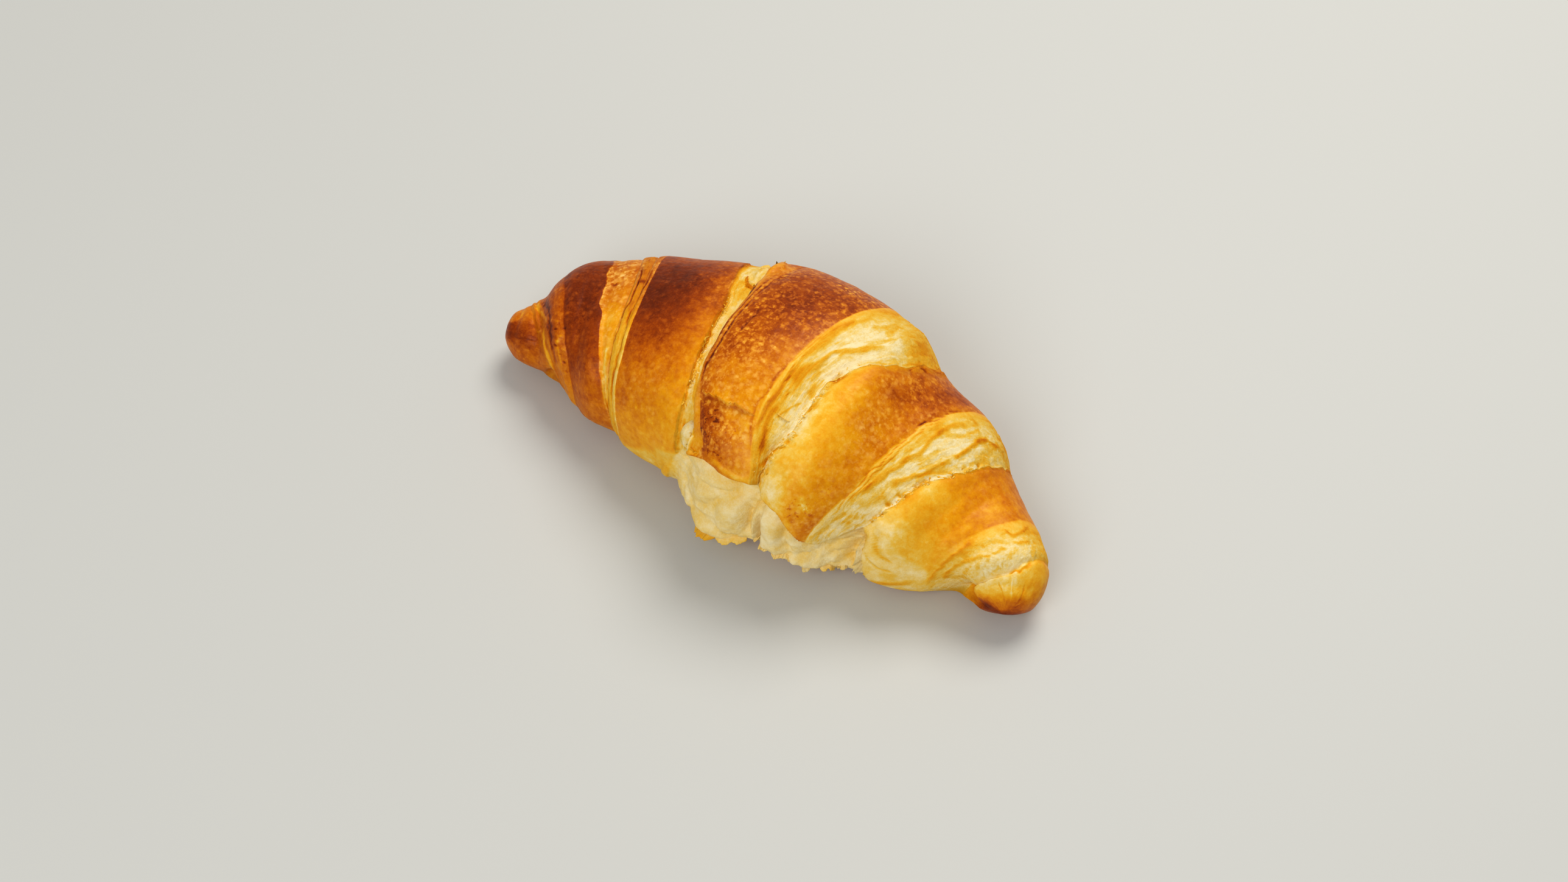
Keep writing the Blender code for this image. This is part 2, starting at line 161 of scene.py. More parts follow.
# How brown each lane is as it goes round, from 0 (raw cream) to 1 (nearly burnt):
# (round, bake at its left edge, ..., bake at its right edge), with one to three places in between or none.
BAKE = {
    "left_nub": [
        (-30, 0.7, 0.62), (10, 0.72, 0.66), (30, 0.8, 0.74), (50, 0.9, 0.82), (75, 0.88, 0.78),
        (95, 0.7, 0.66), (150, 0.6, 0.6), (230, 0.5, 0.5),
    ],
    "left_groove": [(-30, 0.6, 0.6), (40, 0.68, 0.64), (80, 0.72, 0.7), (110, 0.58, 0.6), (230, 0.5, 0.5)],
    "collar": [
        (-30, 0.45, 0.45), (5, 0.6, 0.52), (30, 0.7, 0.66), (60, 0.8, 0.74), (90, 0.82, 0.82),
        (120, 0.74, 0.78), (160, 0.7, 0.7), (230, 0.5, 0.5),
    ],
    "wrap1": [
        (-30, 0.66, 0.6), (0, 0.7, 0.64), (20, 0.78, 0.72), (40, 0.86, 0.78), (60, 0.9, 0.88),
        (85, 0.94, 0.94), (115, 0.92, 0.9), (160, 0.75, 0.75), (230, 0.5, 0.5),
    ],
    "strip1": [
        (-30, 0.44, 0.44), (10, 0.5, 0.46), (50, 0.46, 0.4), (70, 0.42, 0.38), (88, 0.6, 0.52),
        (115, 0.66, 0.62), (230, 0.4, 0.4),
    ],
    "lips1": [
        (-30, 0.36, 0.3), (30, 0.3, 0.26), (60, 0.32, 0.3), (90, 0.5, 0.6), (110, 0.58, 0.68),
        (160, 0.5, 0.6), (230, 0.4, 0.4),
    ],
    "wrap2": [
        (-30, 0.34, 0.34, 0.3), (0, 0.46, 0.43, 0.38), (25, 0.6, 0.48, 0.42), (45, 0.7, 0.56, 0.46),
        (60, 0.78, 0.7, 0.5), (75, 0.86, 0.8, 0.56), (90, 0.93, 0.92, 0.64), (110, 0.92, 0.92, 0.78),
        (130, 0.85, 0.82, 0.75), (180, 0.68, 0.68, 0.65), (230, 0.5, 0.5, 0.5),
    ],
    "strip2": [
        (-30, 0.2, 0.2), (25, 0.2, 0.24), (45, 0.16, 0.18), (75, 0.12, 0.14), (100, 0.14, 0.14),
        (130, 0.1, 0.12), (150, 0.3, 0.3), (230, 0.4, 0.4),
    ],
    "flap": [
        (-30, 0.45, 0.45, 0.4), (28, 0.7, 0.6, 0.46), (45, 0.74, 0.64, 0.48), (54, 0.7, 0.52, 0.42),
        (66, 0.74, 0.6, 0.5), (82, 0.8, 0.76, 0.64), (100, 0.82, 0.84, 0.76), (122, 0.8, 0.86, 0.82),
        (170, 0.65, 0.7, 0.65), (230, 0.5, 0.5, 0.5),
    ],
    "strip3": [
        (-30, 0.3, 0.2, 0.2, 0.2), (30, 0.34, 0.34, 0.3, 0.3), (48, 0.3, 0.3, 0.2, 0.16),
        (60, 0.28, 0.22, 0.1, 0.05), (76, 0.28, 0.2, 0.1, 0.05), (95, 0.24, 0.08, 0.02, 0.02),
        (112, 0.26, 0.06, 0.04, 0.14), (135, 0.36, 0.2, 0.3, 0.32), (160, 0.4, 0.3, 0.3, 0.3),
        (230, 0.4, 0.4, 0.4, 0.4),
    ],
    "wrap4": [
        (-30, 0.15, 0.3, 0.3, 0.35), (3, 0.2, 0.4, 0.56, 0.6), (15, 0.2, 0.34, 0.5, 0.6),
        (30, 0.18, 0.34, 0.44, 0.54), (60, 0.2, 0.38, 0.45, 0.54), (80, 0.26, 0.44, 0.56, 0.6),
        (96, 0.38, 0.58, 0.72, 0.62), (112, 0.5, 0.68, 0.8, 0.66), (130, 0.56, 0.74, 0.82, 0.66),
        (180, 0.6, 0.64, 0.66, 0.6), (230, 0.5, 0.5, 0.5, 0.5),
    ],
    "strip4": [
        (-30, 0.2, 0.12, 0.12, 0.12), (30, 0.16, 0.1, 0.08, 0.05), (60, 0.26, 0.12, 0.12, 0.06),
        (90, 0.28, 0.08, 0.04, 0.12), (120, 0.28, 0.1, 0.05, 0.2), (160, 0.4, 0.3, 0.3, 0.3),
        (230, 0.4, 0.4, 0.4, 0.4),
    ],
    "wrap5": [
        (-30, 0.3, 0.2, 0.2), (8, 0.2, 0.2, 0.3), (25, 0.2, 0.22, 0.3), (42, 0.24, 0.27, 0.38),
        (60, 0.3, 0.4, 0.5), (76, 0.26, 0.48, 0.5), (90, 0.44, 0.52, 0.52), (115, 0.56, 0.56, 0.54),
        (150, 0.6, 0.6, 0.58), (230, 0.48, 0.48, 0.48),
    ],
    "strip5": [
        (-30, 0.16, 0.14, 0.14), (30, 0.36, 0.16, 0.16), (65, 0.4, 0.1, 0.08), (85, 0.3, 0.08, 0.1),
        (110, 0.3, 0.12, 0.1), (160, 0.4, 0.3, 0.3), (230, 0.4, 0.4, 0.4),
    ],
    "right_nub": [
        (-40, 0.42, 0.6, 0.85, 0.95), (0, 0.36, 0.46, 0.74, 0.95), (20, 0.3, 0.36, 0.52, 0.88),
        (45, 0.12, 0.2, 0.34, 0.76), (70, 0.08, 0.14, 0.22, 0.7), (100, 0.12, 0.18, 0.26, 0.7),
        (140, 0.36, 0.36, 0.44, 0.8), (230, 0.5, 0.5, 0.7, 0.95),
    ],
}
# Bake added across a lane: (share of profile, bake).
RIMS = {
    "strip2": [
        (0, 0.45), (0.03, 0.36), (0.08, 0.05), (0.5, 0), (0.57, 0.12), (0.64, 0.42), (0.74, 0.5),
        (0.8, 0.34), (0.88, 0.5),
        (1, 0.5),
    ],
}
# How torn each lane is across its width, from 0 (glazed crust) to 1 (bare layers): (share of profile, torn).
TORN = {
    "left_groove": [(0, 0.3), (1, 0.3)],
    "strip1": [(0, 0), (0.04, 0.25), (0.9, 0.25), (1, 0.3)],
    "lips1": [(0, 0.3), (0.2, 0.8), (0.5, 0.8), (0.66, 0.2), (0.8, 0.6), (1, 0)],
    "strip2": [(0, 0), (0.03, 1), (0.5, 1), (0.62, 0.3), (0.7, 0), (1, 0)],
    "strip3": [(0, 0), (0.1, 0.8), (0.3, 1), (0.97, 1), (1, 0.6)],
    "wrap4": [(0, 0.6), (0.1, 0.4), (0.25, 0), (1, 0)],
    "strip4": [(0, 0), (0.1, 0.8), (0.3, 1), (0.97, 1), (1, 0.4)],
    "wrap5": [(0, 0.5), (0.1, 0.3), (0.25, 0), (1, 0)],
    "strip5": [(0, 0), (0.25, 0.7), (0.9, 0.9), (1, 0)],
}
# How mottled the glaze of each lane is, where it isn't fully so.
MOTTLE = {
    "left_nub": 0.35, "left_groove": 0.3, "collar": 0.5, "wrap1": 0.35, "strip1": 3.8, "lips1": 3.0,
    "wrap2": 0.45, "flap": 1.3, "wrap4": 1.0, "wrap5": 0.4, "right_nub": 0.3,
}
# The browned rims of layers, creases and pale bands, with painted shade in some grooves and painted light on
# some raised wrinkles: half-width (mm), added bake, added height (mm), and the (along, round) points that the
# line runs through.
STROKES = [
    # the rolled lip at the lower end of the flap
    (0.6, -0.2, 0.25, [(5, 28.6), (7.2, 27.8), (9.5, 27), (11.5, 26.8), (13.6, 29)]),
    # between the left nub and the first wrap
    (0.5, -0.3, 0.25, [(-70.2, 64), (-69.6, 50), (-69, 36), (-68, 20), (-67.1, 6), (-66.5, -6)]),
    (0.4, -0.22, 0.15, [(-74, 122), (-73.2, 105), (-71.8, 92), (-69.8, 76), (-68.3, 66)]),
    (0.35, 0.2, -0.3, [(-72, 112), (-70.3, 96), (-68, 74), (-67.6, 60), (-67, 46), (-66.3, 32), (-65.4, 18)]),
    (0.5, -0.15, 0.0, [(-78, 88), (-77.6, 100), (-77, 112)]),
    (0.3, -0.2, 0.1, [(-65.6, 52), (-65, 46), (-64.8, 40), (-64.2, 32), (-63.6, 22)]),
    # the lips between the first two wraps
    (0.24, 0.34, -0.5, [
        (-49.2, 122), (-48.2, 112), (-46.8, 104), (-46.2, 92), (-46, 80), (-45.4, 68), (-44.5, 56),
        (-43.3, 44), (-42.3, 32), (-41.5, 20), (-40.7, 6),
    ]),
    (0.22, 0.3, -0.4, [
        (-45.4, 114), (-44.2, 96), (-43.6, 84), (-43, 74), (-42, 62), (-41.3, 52), (-41, 44), (-40.2, 30),
        (-39.6, 16),
    ]),
    (0.9, -0.08, 0.1, [
        (-42.2, 70), (-41.4, 64), (-40.1, 52), (-39.5, 42), (-39, 30), (-38.2, 18), (-37.4, 6),
    ]),
    (0.7, -0.24, 0.1, [(-47, 56), (-45.6, 46), (-44.6, 34), (-43.2, 22), (-42, 8)]),
    # over the torn strip left of the flap, and its rolled lip
    (0.32, 0.55, -0.3, [
        (-22, 119), (-21.2, 114), (-19.8, 110), (-18.2, 108.5), (-17, 106), (-16.3, 101), (-16, 97),
    ]),
    (0.22, 0.35, -0.1, [
        (-15.4, 118), (-15.1, 104), (-14.8, 92), (-14.3, 82), (-13.5, 72), (-12.5, 63), (-11, 55), (-9, 47),
    ]),
    (0.3, 0.3, -0.25, [(-14, 112), (-13.8, 98), (-13.3, 86), (-12.3, 76), (-11.1, 68), (-9.7, 60), (-8, 54)]),
    (0.25, -0.2, 0.1, [(-13.3, 104), (-12.8, 90), (-11.8, 78), (-10.4, 68)]),
    (0.3, 0.2, -0.2, [(-9.2, 93), (-9, 86), (-8.5, 81)]),
    # golden layers on the slope right of the flap
    (0.32, 0.2, -0.15, [
        (8.9, 107), (8.6, 100), (8.2, 91), (7.6, 84), (7, 76.6), (7.8, 68), (7.9, 60), (8.4, 54), (10, 47),
        (11.6, 40),
    ]),
    (0.25, 0.16, -0.1, [(9.8, 106), (9.3, 98), (8.9, 90)]),
    (0.9, 0.16, 0.0, [(13.5, 121), (11.6, 113), (10.5, 106), (10.4, 98), (10, 92), (9, 87)]),
    (0.75, 0.26, 0.25, [
        (24, 114), (21, 109), (18.4, 103.8), (16.4, 99.7), (14.2, 96.5), (13.1, 94.4), (12.6, 91), (12.2, 87),
        (11.2, 84), (11, 79.8), (11.5, 77), (12.4, 73.5),
    ]),
    (0.45, 0.16, 0.1, [(14.6, 95.5), (16, 96.2), (17.8, 97.8)]),
    (0.5, 0.1, 0.0, [(13.4, 88), (14.4, 83), (14.7, 78.7), (14.8, 75)]),
    (0.45, 0.24, 0.2, [(8.8, 84), (9.5, 77.7), (9.8, 72), (9.6, 65), (9.9, 61), (10, 56.7), (10.4, 50)]),
    (0.85, 0.26, 0.1, [(11.5, 66), (11.6, 60), (11.8, 55), (12.2, 49), (12.9, 42)]),
    (0.2, 0.2, 0.1, [(12.8, 60), (13.6, 66), (14.6, 72)]),
    (0.13, 0.3, -0.2, [(8.6, 88.2), (8.8, 85.8)]),
    (0.13, 0.3, -0.2, [(8.6, 83.2), (8.8, 80.6)]),
    (0.13, 0.3, -0.2, [(9.9, 78), (9.8, 75.4)]),
    (0.13, 0.3, -0.2, [(11.5, 72.4), (11.5, 70.2)]),
    # a darker groove along the fourth wrap's torn rim; the darkening is painted shade in it
    (0.3, 0.3, -0.5, [(17.2, 50.6), (15.2, 48.4), (14.6, 44), (14.4, 40), (14.4, 36)]),
    # golden layers between the last two wraps
    (0.16, 0.34, -0.1, [
        (42.4, 125), (40.6, 112), (39.8, 103), (38.9, 95), (38.6, 87), (38, 79), (37.6, 71), (36.8, 63),
        (36.2, 54), (35.2, 46), (34.1, 36), (33, 28),
    ]),
    (0.16, 0.28, -0.1, [
        (40.8, 106), (39.9, 96), (39.4, 86), (38.9, 77), (38.3, 68), (37.4, 58), (36.2, 46), (34.9, 34),
    ]),
    (0.5, 0.26, 0.2, [
        (45.8, 130), (44.7, 117.4), (43.5, 109), (42.9, 102.8), (42.7, 96), (43, 91), (42.4, 84),
        (41.7, 78.7), (41.2, 72.4), (40.6, 67.2), (39.4, 60), (38.4, 55.7), (37.1, 49.4), (36, 41),
    ]),
    (0.6, 0.4, 0.3, [
        (51.5, 146), (50.4, 134), (49.4, 124), (49, 118), (49.3, 108), (49.2, 101.7), (48.6, 98),
    ]),
    (0.7, 0.28, 0.25, [
        (49, 98), (48.4, 94), (48, 91.3), (47.4, 86), (46.4, 80.8), (45.6, 75.6), (44.7, 70.3),
        (43.2, 65.5), (41.8, 62),
    ]),
    (1.2, 0.12, 0.1, [(41.8, 59), (41.2, 51.5), (39.9, 46.3), (38.4, 41)]),
    (0.35, 0.16, 0.1, [(41, 82), (40.2, 72), (39, 62), (37.8, 54)]),
    # the browned foot of the fifth wrap, and its crumpled side
    (1.0, 0.24, 0.2, [(44, -22), (48, -15), (52, -8), (56, -3), (59, 1)]),
    (0.5, 0.16, -0.3, [(46, 30), (47.5, 22), (50, 16), (53.5, 14)]),
    (0.4, 0.12, -0.3, [(45, 12), (48, 6), (51, 4), (54, 6)]),
    # the unbrowned left rim of the fourth wrap
    (2.0, -0.05, 0.1, [(16.4, 50), (16.4, 44), (16.6, 38), (17.3, 32), (18.4, 26), (19.6, 21.5)]),
    (1.5, -0.12, 0.0, [(19.4, 22.5), (22, 19.5), (24.8, 13.5), (27, 9)]),
    (2.2, -0.1, 0.0, [(18.4, 54), (18.6, 62), (18.5, 72), (18.6, 82), (19.6, 91), (23, 98)]),
    # golden layers before the right nub
    (0.6, 0.2, 0.25, [(66.2, 70), (66.8, 58), (66, 45), (65, 30), (63.8, 12), (62.8, -2)]),
    (0.6, 0.2, 0.25, [(72.2, 70), (71.4, 58), (70.2, 46), (69, 32), (67.2, 14), (66, 0)]),
    (0.5, 0.24, 0.1, [(72.1, 91), (72.6, 84), (72.4, 76)]),
    (0.5, 0.24, 0.2, [(68.4, 132), (69, 118), (69.6, 106), (68.2, 98)]),
    (0.4, 0.2, 0.15, [(71.5, 122), (72, 110), (71, 100)]),
    (0.35, 0.3, -0.3, [(75.2, 124), (76.4, 108), (76.9, 92)]),
    # wrinkles down the right nub's foot: paler on the raised ones as painted light, darker in the sunk ones
    # as painted shade
    (0.3, -0.12, 0.15, [(78.2, 96), (79.2, 98), (80.2, 102), (81, 108)]),
    (0.35, 0.14, -0.2, [(78.6, 78), (79.6, 80), (80.6, 84), (81.3, 92)]),
    (0.3, 0.16, -0.25, [(78.4, 118), (79.4, 122), (80.4, 128), (81.2, 138)]),
    (0.3, -0.12, 0.1, [(77.8, 134), (78.8, 138), (80, 146)]),
    # on the wraps
    (0.5, 0.2, -0.1, [(28.8, 129), (28, 121), (27.3, 113)]),
    # folds of the skirt, and the golden rim of the small lobe above it
    (0.45, 0.05, 0.3, [(15.4, 14), (14.2, 7), (13.2, 0.6), (12.8, -4), (13.6, -12)]),
    (0.3, 0.06, 0.1, [(16.5, 12), (16, 4), (15.6, -3), (16.4, -12)]),
    (0.4, 0.42, -0.3, [
        (-8.8, 31), (-7.4, 25), (-5.8, 20), (-4.2, 17.8), (-2.4, 18.4), (-0.6, 20.5), (1, 24),
    ]),
]
# Sharp valleys: reach to each side (mm), depth (mm), and the (along, round) points of the line.
CREASES = [
    (1.6, 1.5, [(9.7, 22), (10.9, 14.3), (10.6, 9), (9.4, 4)]),
    (1.4, 1.4, [(1.3, -5.4), (5.5, -1), (9, 4.9), (10.6, 8)]),
    (1.4, 0.9, [(-3.5, -1), (2, 4), (6, 8), (9.6, 12)]),
    (1.2, 0.8, [(-6, 8), (-1, 10), (4, 15)]),
    (1.6, 3.0, [(16.8, 18), (15.9, 13.4), (14.8, 7), (13.9, 0.6), (13.5, -3.7), (14.4, -13)]),
    (0.9, 1.4, [(17.2, 9), (16.6, 4), (16.2, -3), (17, -11)]),
    (1.4, 1.4, [(20.5, 13), (23, 4), (22.5, -4), (24, -12)]),
    (1.4, 1.2, [(25.5, 3), (28, -3), (29.8, -9), (30, -16)]),
    (1.2, 1.2, [(29, -1), (32, -3), (35, 1), (38, 9), (40, 16)]),
    (1.0, 1.0, [(33, -8), (36, -5), (38.5, 0)]),
    (1.2, 0.9, [(46, 34), (48, 24), (50.5, 17), (54, 14)]),
    (1.6, 2.7, [(43.2, 28), (42.6, 16), (41, 5), (38.6, -6), (39.4, -14), (41, -22)]),
    (1.4, 0.9, [(-13.8, 112), (-14.2, 120), (-14.4, 130), (-14.6, 142)]),
]
# Rounded lumps: (along, round, half-length, half-angle, height). The first is the small pale lobe.
LUMPS = [
    (-4.9, 26, 3.3, 9, 2.8), (-8, -14, 9, 14, 1.8), (2.5, 16, 8, 9, 1.7), (3, 1, 6, 9, 0.8),
    (10.5, -1, 3.4, 12, 1.4), (5, -18, 6, 8, 2.8),
    (15.4, 2, 1.3, 14, 0.9), (19.5, 5, 3.2, 11, 0.8), (19, -12, 3.5, 8, 0.4), (28.5, -23, 5.5, 10, 3.2),
    (33.5, -22, 2.5, 7, 1.6), (37, 13, 4.5, 8, 1.5), (26.5, -4, 4, 7, 0.9), (32.5, -12, 4, 7, 1.0),
    (-18.8, 128, 2.8, 11, 1.5),
]
# Darker and paler patches: (along, round, half-length, half-angle, bake).
PATCHES = [
    (-36, 100, 8, 26, 0.05), (-30, 88, 3, 6, -0.05), (-26, 106, 3, 8, -0.06), (-35, 22, 1.2, 8, 0.06),
    (-1, 41, 3, 9, 0.1), (4, 47, 3.5, 5, 0.04), (5, 34, 3, 5, 0.08), (-2, 104, 6, 10, 0.05),
    (5, 88, 3, 8, -0.05), (23, 62, 4, 16, -0.04), (20, 30, 2.5, 9, -0.12), (31, 118, 4, 14, 0.06),
    (48.5, 40, 4, 6, -0.16), (52.5, 77, 3.0, 7, -0.16), (37.2, 25, 1.3, 6, 0.14),
    (62.5, 104, 1.6, 8, -0.12), (-77, 40, 0.9, 5, -0.12), (24, 82, 2, 9, -0.05), (65, 122, 1, 14, 0.06),
]
# Small pits and scuffs: (along, round, radius in mm, bake, height). The sunk pits are darkened as painted
# shade; the raised scuffs are paler.
SPOTS = [
    (-65.4, 41.5, 0.6, 0.3, -0.5), (-62.4, 28, 0.5, 0.3, -0.4), (-66, 58, 0.45, 0.3, -0.4),
    (-64.2, 52, 0.5, -0.25, 0.2), (-62.8, 40, 0.6, -0.2, 0.2), (-65.6, 66, 0.6, -0.22, 0.2),
    (-64, 34, 0.4, 0.22, -0.3), (-63.4, 60, 0.5, 0.2, -0.3), (-61.6, 18, 0.5, -0.2, 0.2),
    (-71.4, 62, 0.7, -0.16, 0.1), (-73.6, 46, 0.8, 0.14, -0.2), (-65.2, 46, 0.5, -0.25, 0.1),
    (-63.2, 74, 0.6, -0.2, 0.1), (-46, 101, 0.8, 0.3, -0.2), (26.6, 29, 0.9, -0.35, 0.1),
    (27.6, 27, 0.7, -0.35, 0.1), (26, 32, 0.6, -0.3, 0.1), (25.4, 18, 0.7, 0.22, -0.1),
    (-22.6, 19.5, 0.4, -0.25, 0.2), (-30.4, 24.5, 0.4, -0.25, 0.2), (18.6, 90, 0.9, 0.36, -0.8),
    (18.2, 87, 0.8, 0.3, -0.6), (17, 70.5, 0.6, 0.34, -0.6), (17.9, 57.6, 0.5, 0.3, -0.5),
    (17, 53.6, 0.7, 0.36, -0.6), (81.2, 150, 0.5, 0.14, -0.5), (80.8, 132, 0.4, 0.12, -0.4),
    (80.2, 116, 0.3, 0.1, -0.3), (81.6, 190, 0.7, 0.14, -0.5), (44.3, 52, 0.8, 0.4, -0.8),
    (45.6, 61, 0.6, 0.35, -0.6), (47.4, 72, 0.5, 0.3, -0.6), (-53, 100, 0.8, 0.25, -0.3),
]
# Pale dough low on the front, below these lines: (along, round) of the line, bake, softness (mm).
APRONS = [
    ([(-40, -12), (-34, -4), (-26, 1), (-18, 4), (-9, 9), (-5, 12)], 0.24, 2.2),
    ([(42, 41), (46, 39), (50, 35.5), (54, 28), (58, 25.5), (61, 22), (63, 8), (64, -20)], 0.15, 1.6),
]
SKIRT_BAKE = 0.09
SOLE_BAKE = [(52, 0.6), (62, 0.34), (72, 0.42), (77, 0.62), (81, 0.92)]  # (along, bake)
# Places with fine dark speckles: (along, round, half-length, half-angle, strength).
SPECKLED = [
    (0.5, 41, 3, 10, 1.0), (4, 32, 5, 5, 0.7), (6, 44, 4, 6, 0.5), (26, 24, 4, 9, 0.8), (30, 40, 3, 8, 0.4),
]
# Crumbly tears beside an edge: name, how far it reaches left and right of the edge (mm).
TEARS = [("wrap2_right", 0.6, 1.6), ("wrap4_left", 0.8, 3.0), ("wrap5_left", 1.6, 0.8)]
# The ledge where the flap's outer layer has cracked and the tip folds down: its upper line, and its size.
LEDGE = [(-6.5, 51), (-4.3, 51.5), (-2.4, 52.6), (0.5, 53.6), (2, 53.2), (3, 54.7), (4.3, 55.6), (8.4, 56.2)]
LEDGE_DROP = 0.7
LEDGE_REACH = 9.0
# Thin walls of dough along torn edges: height, lean to the right of the line, thickness (mm), bake at the
# foot and at the rim, and the (along, round) points of the line.
RIBBONS = [
    (0.8, 0.5, 0.5, 0.4, 0.62, [
        (-22, 119), (-21.2, 114), (-19.8, 110), (-18.2, 108.5), (-17, 106), (-16.4, 101),
    ]),
    (1.0, 0.3, 0.3, 0.1, 0.24, [(-20.8, 127), (-19.4, 128.5), (-18, 127)]),
    (1.0, -0.3, 0.3, 0.1, 0.2, [(-18.4, 131), (-17.4, 132), (-16.6, 131)]),
    (0.7, -0.4, 0.25, 0.1, 0.28, [(-20.6, 98), (-20, 90), (-19, 82)]),
    (0.5, -0.4, 0.2, 0.1, 0.3, [(-18.6, 78), (-17.6, 70), (-16.6, 64)]),
    (0.6, -0.5, 0.2, 0.1, 0.25, [(-15.2, 59), (-14, 54), (-13.4, 48)]),
    (0.5, 0.4, 0.2, 0.15, 0.4, [(-4, 30), (-2.5, 26), (0, 24.5), (1.5, 26)]),
    (0.28, 0.4, 0.14, 0.4, 0.36, [(-5, 51.4), (-2.4, 52.7), (0.5, 53.7), (2, 53.3)]),
    (0.3, 0.4, 0.14, 0.4, 0.34, [(2.4, 54), (3.2, 55), (5, 55.7), (8.6, 56)]),
    (0.5, -0.5, 0.18, 0.1, 0.2, [(12, 62.5), (13.4, 61.6), (15, 61.6)]),
]
# Crumbs beside torn edges: edge, count, lowest and highest place round, then middle and spread beside
# the edge (mm).
CRUMBS = [
    ("wrap2_right", 70, 36, 104, 0.7, 0.5), ("wrap4_left", 110, 32, 104, 0.2, 0.6),
    ("wrap5_left", 90, 34, 104, -0.2, 0.5),
]
CRUMB_SIDES, CRUMB_SIZE, CRUMB_BAKE = 6, (0.1, 0.3), (0.12, 0.34)
# Flakes at the skirt's foot: middle (along), round, width, reach, droop (mm), bake inside and at the rim.
FOOT_FLAKES = [
    (5.2, -17, 6.5, 2.0, 0.6, 0.14, 0.32),
    (11, -16, 7.0, 1.4, 0.8, 0.08, 0.2),
    (17.2, -15, 5.0, 1.0, 0.4, 0.08, 0.14),
    (22, -17, 6.0, 1.0, 0.5, 0.08, 0.16),
    (28.4, -22, 2.6, 1.0, 0.5, 0.06, 0.12),
    (33.4, -22, 4.6, 1.2, 0.4, 0.08, 0.16),
    (36.8, -20, 3.4, 1.2, 0.3, 0.06, 0.1),
]
BASE_MIDDLE = (-0.211, 10.227)  # middle of the solid's box, in the frame of the roll


# ---------------------------------------------------------------- the surface
def smooth_through(points, at):
    """A smooth curve through the points with no overshoot between them (monotone cubic)."""
    xs, ys = np.array(points, float).T
    step, slope = np.diff(xs), np.diff(ys) / np.diff(xs)
    inner = np.zeros(len(xs))
    before, after = slope[:-1], slope[1:]
    weight_before, weight_after = 2 * step[1:] + step[:-1], step[1:] + 2 * step[:-1]
    same_way = before * after > 0
    inner[1:-1][same_way] = ((weight_before + weight_after)[same_way]) / (
        weight_before[same_way] / before[same_way] + weight_after[same_way] / after[same_way]
    )
    inner[0], inner[-1] = slope[0], slope[-1]
    at = np.clip(at, xs[0], xs[-1])
    k = np.clip(np.searchsorted(xs, at, side="right") - 1, 0, len(xs) - 2)
    t = (at - xs[k]) / step[k]
    return (
        (1 + 2 * t) * (1 - t) ** 2 * ys[k]
        + t * (1 - t) ** 2 * step[k] * inner[k]
        + t * t * (3 - 2 * t) * ys[k + 1]
        + t * t * (t - 1) * step[k] * inner[k + 1]
    )


def spline_through(points, at):
    """A natural cubic spline through the points, for the spine, whose bend must change gently."""
    xs, ys = np.array(points, float).T
    step = np.diff(xs)
    count = len(xs)
    matrix, right = np.eye(count), np.zeros(count)
    for k in range(1, count - 1):
        matrix[k, k - 1 : k + 2] = step[k - 1], 2 * (step[k - 1] + step[k]), step[k]
        right[k] = 3 * ((ys[k + 1] - ys[k]) / step[k] - (ys[k] - ys[k - 1]) / step[k - 1])
    bend = np.linalg.solve(matrix, right)
    k = np.clip(np.searchsorted(xs, at, side="right") - 1, 0, count - 2)
    u = at - xs[k]
    rise = (ys[k + 1] - ys[k]) / step[k] - step[k] * (2 * bend[k] + bend[k + 1]) / 3
    return ys[k] + u * (rise + u * (bend[k] + u * (bend[k + 1] - bend[k]) / (3 * step[k])))


def smoothstep(low, high, value):
    t = np.clip((value - low) / (high - low), 0, 1)
    return t * t * (3 - 2 * t)


def spine_at(along):
    """Places on the spine and its directions, seen from above, at these distances from its middle."""
    corners = np.array(SPINE, float)
    chord = np.concatenate([[0], np.cumsum(np.hypot(*np.diff(corners, axis=0).T))])
    fine = np.linspace(0, chord[-1], 2001)
    line = np.stack([spline_through(list(zip(chord, corners[:, i])), fine) for i in (0, 1)], axis=-1)
    length = np.concatenate([[0], np.cumsum(np.hypot(*np.diff(line, axis=0).T))])
    length = (length / length[-1] * 2 - 1) * HALF_LENGTH
    direction = np.gradient(line, axis=0)
    direction /= np.linalg.norm(direction, axis=1)[:, None]
    ease = np.minimum(TURN_EASE, HALF_LENGTH - np.abs(length))
    near = [length + ease * share for share in (-1, -0.5, 0, 0.5, 1)]
    direction = np.mean([[np.interp(at, length, direction[:, i]) for i in (0, 1)] for at in near], axis=0).T
    direction /= np.linalg.norm(direction, axis=1)[:, None]
    place = np.stack([np.interp(along, length, line[:, i]) for i in (0, 1)], axis=-1)
    return place, np.stack([np.interp(along, length, direction[:, i]) for i in (0, 1)], axis=-1)


def edge_at(name, around):
    """Where an edge runs at these angles. Under the sole it crosses straight from the back to the front."""
    front, back = SOLE_TO - 360, SOLE_FROM
    seen = smooth_through(EDGES[name], np.clip(around, front, back))
    across = np.clip((around - back) / (SOLE_TO - back), 0, 1)
    ends = smooth_through(EDGES[name], np.array([front, back], float))
    return np.where(around > back, ends[1] + across * (ends[0] - ends[1]), seen)


def profile_at(points, samples, width=12.0):
    """Places and heights evenly spaced along a lane's profile, on a lane about this wide."""
    corners = np.array(points, float)
    gaps = np.hypot(np.diff(corners[:, 0]) * width, np.diff(corners[:, 1]))
    run = np.concatenate([[0], np.cumsum(gaps)]) / gaps.sum()
    return (
        smooth_through(list(zip(run, corners[:, 0])), samples),
        smooth_through(list(zip(run, corners[:, 1])), samples),
    )


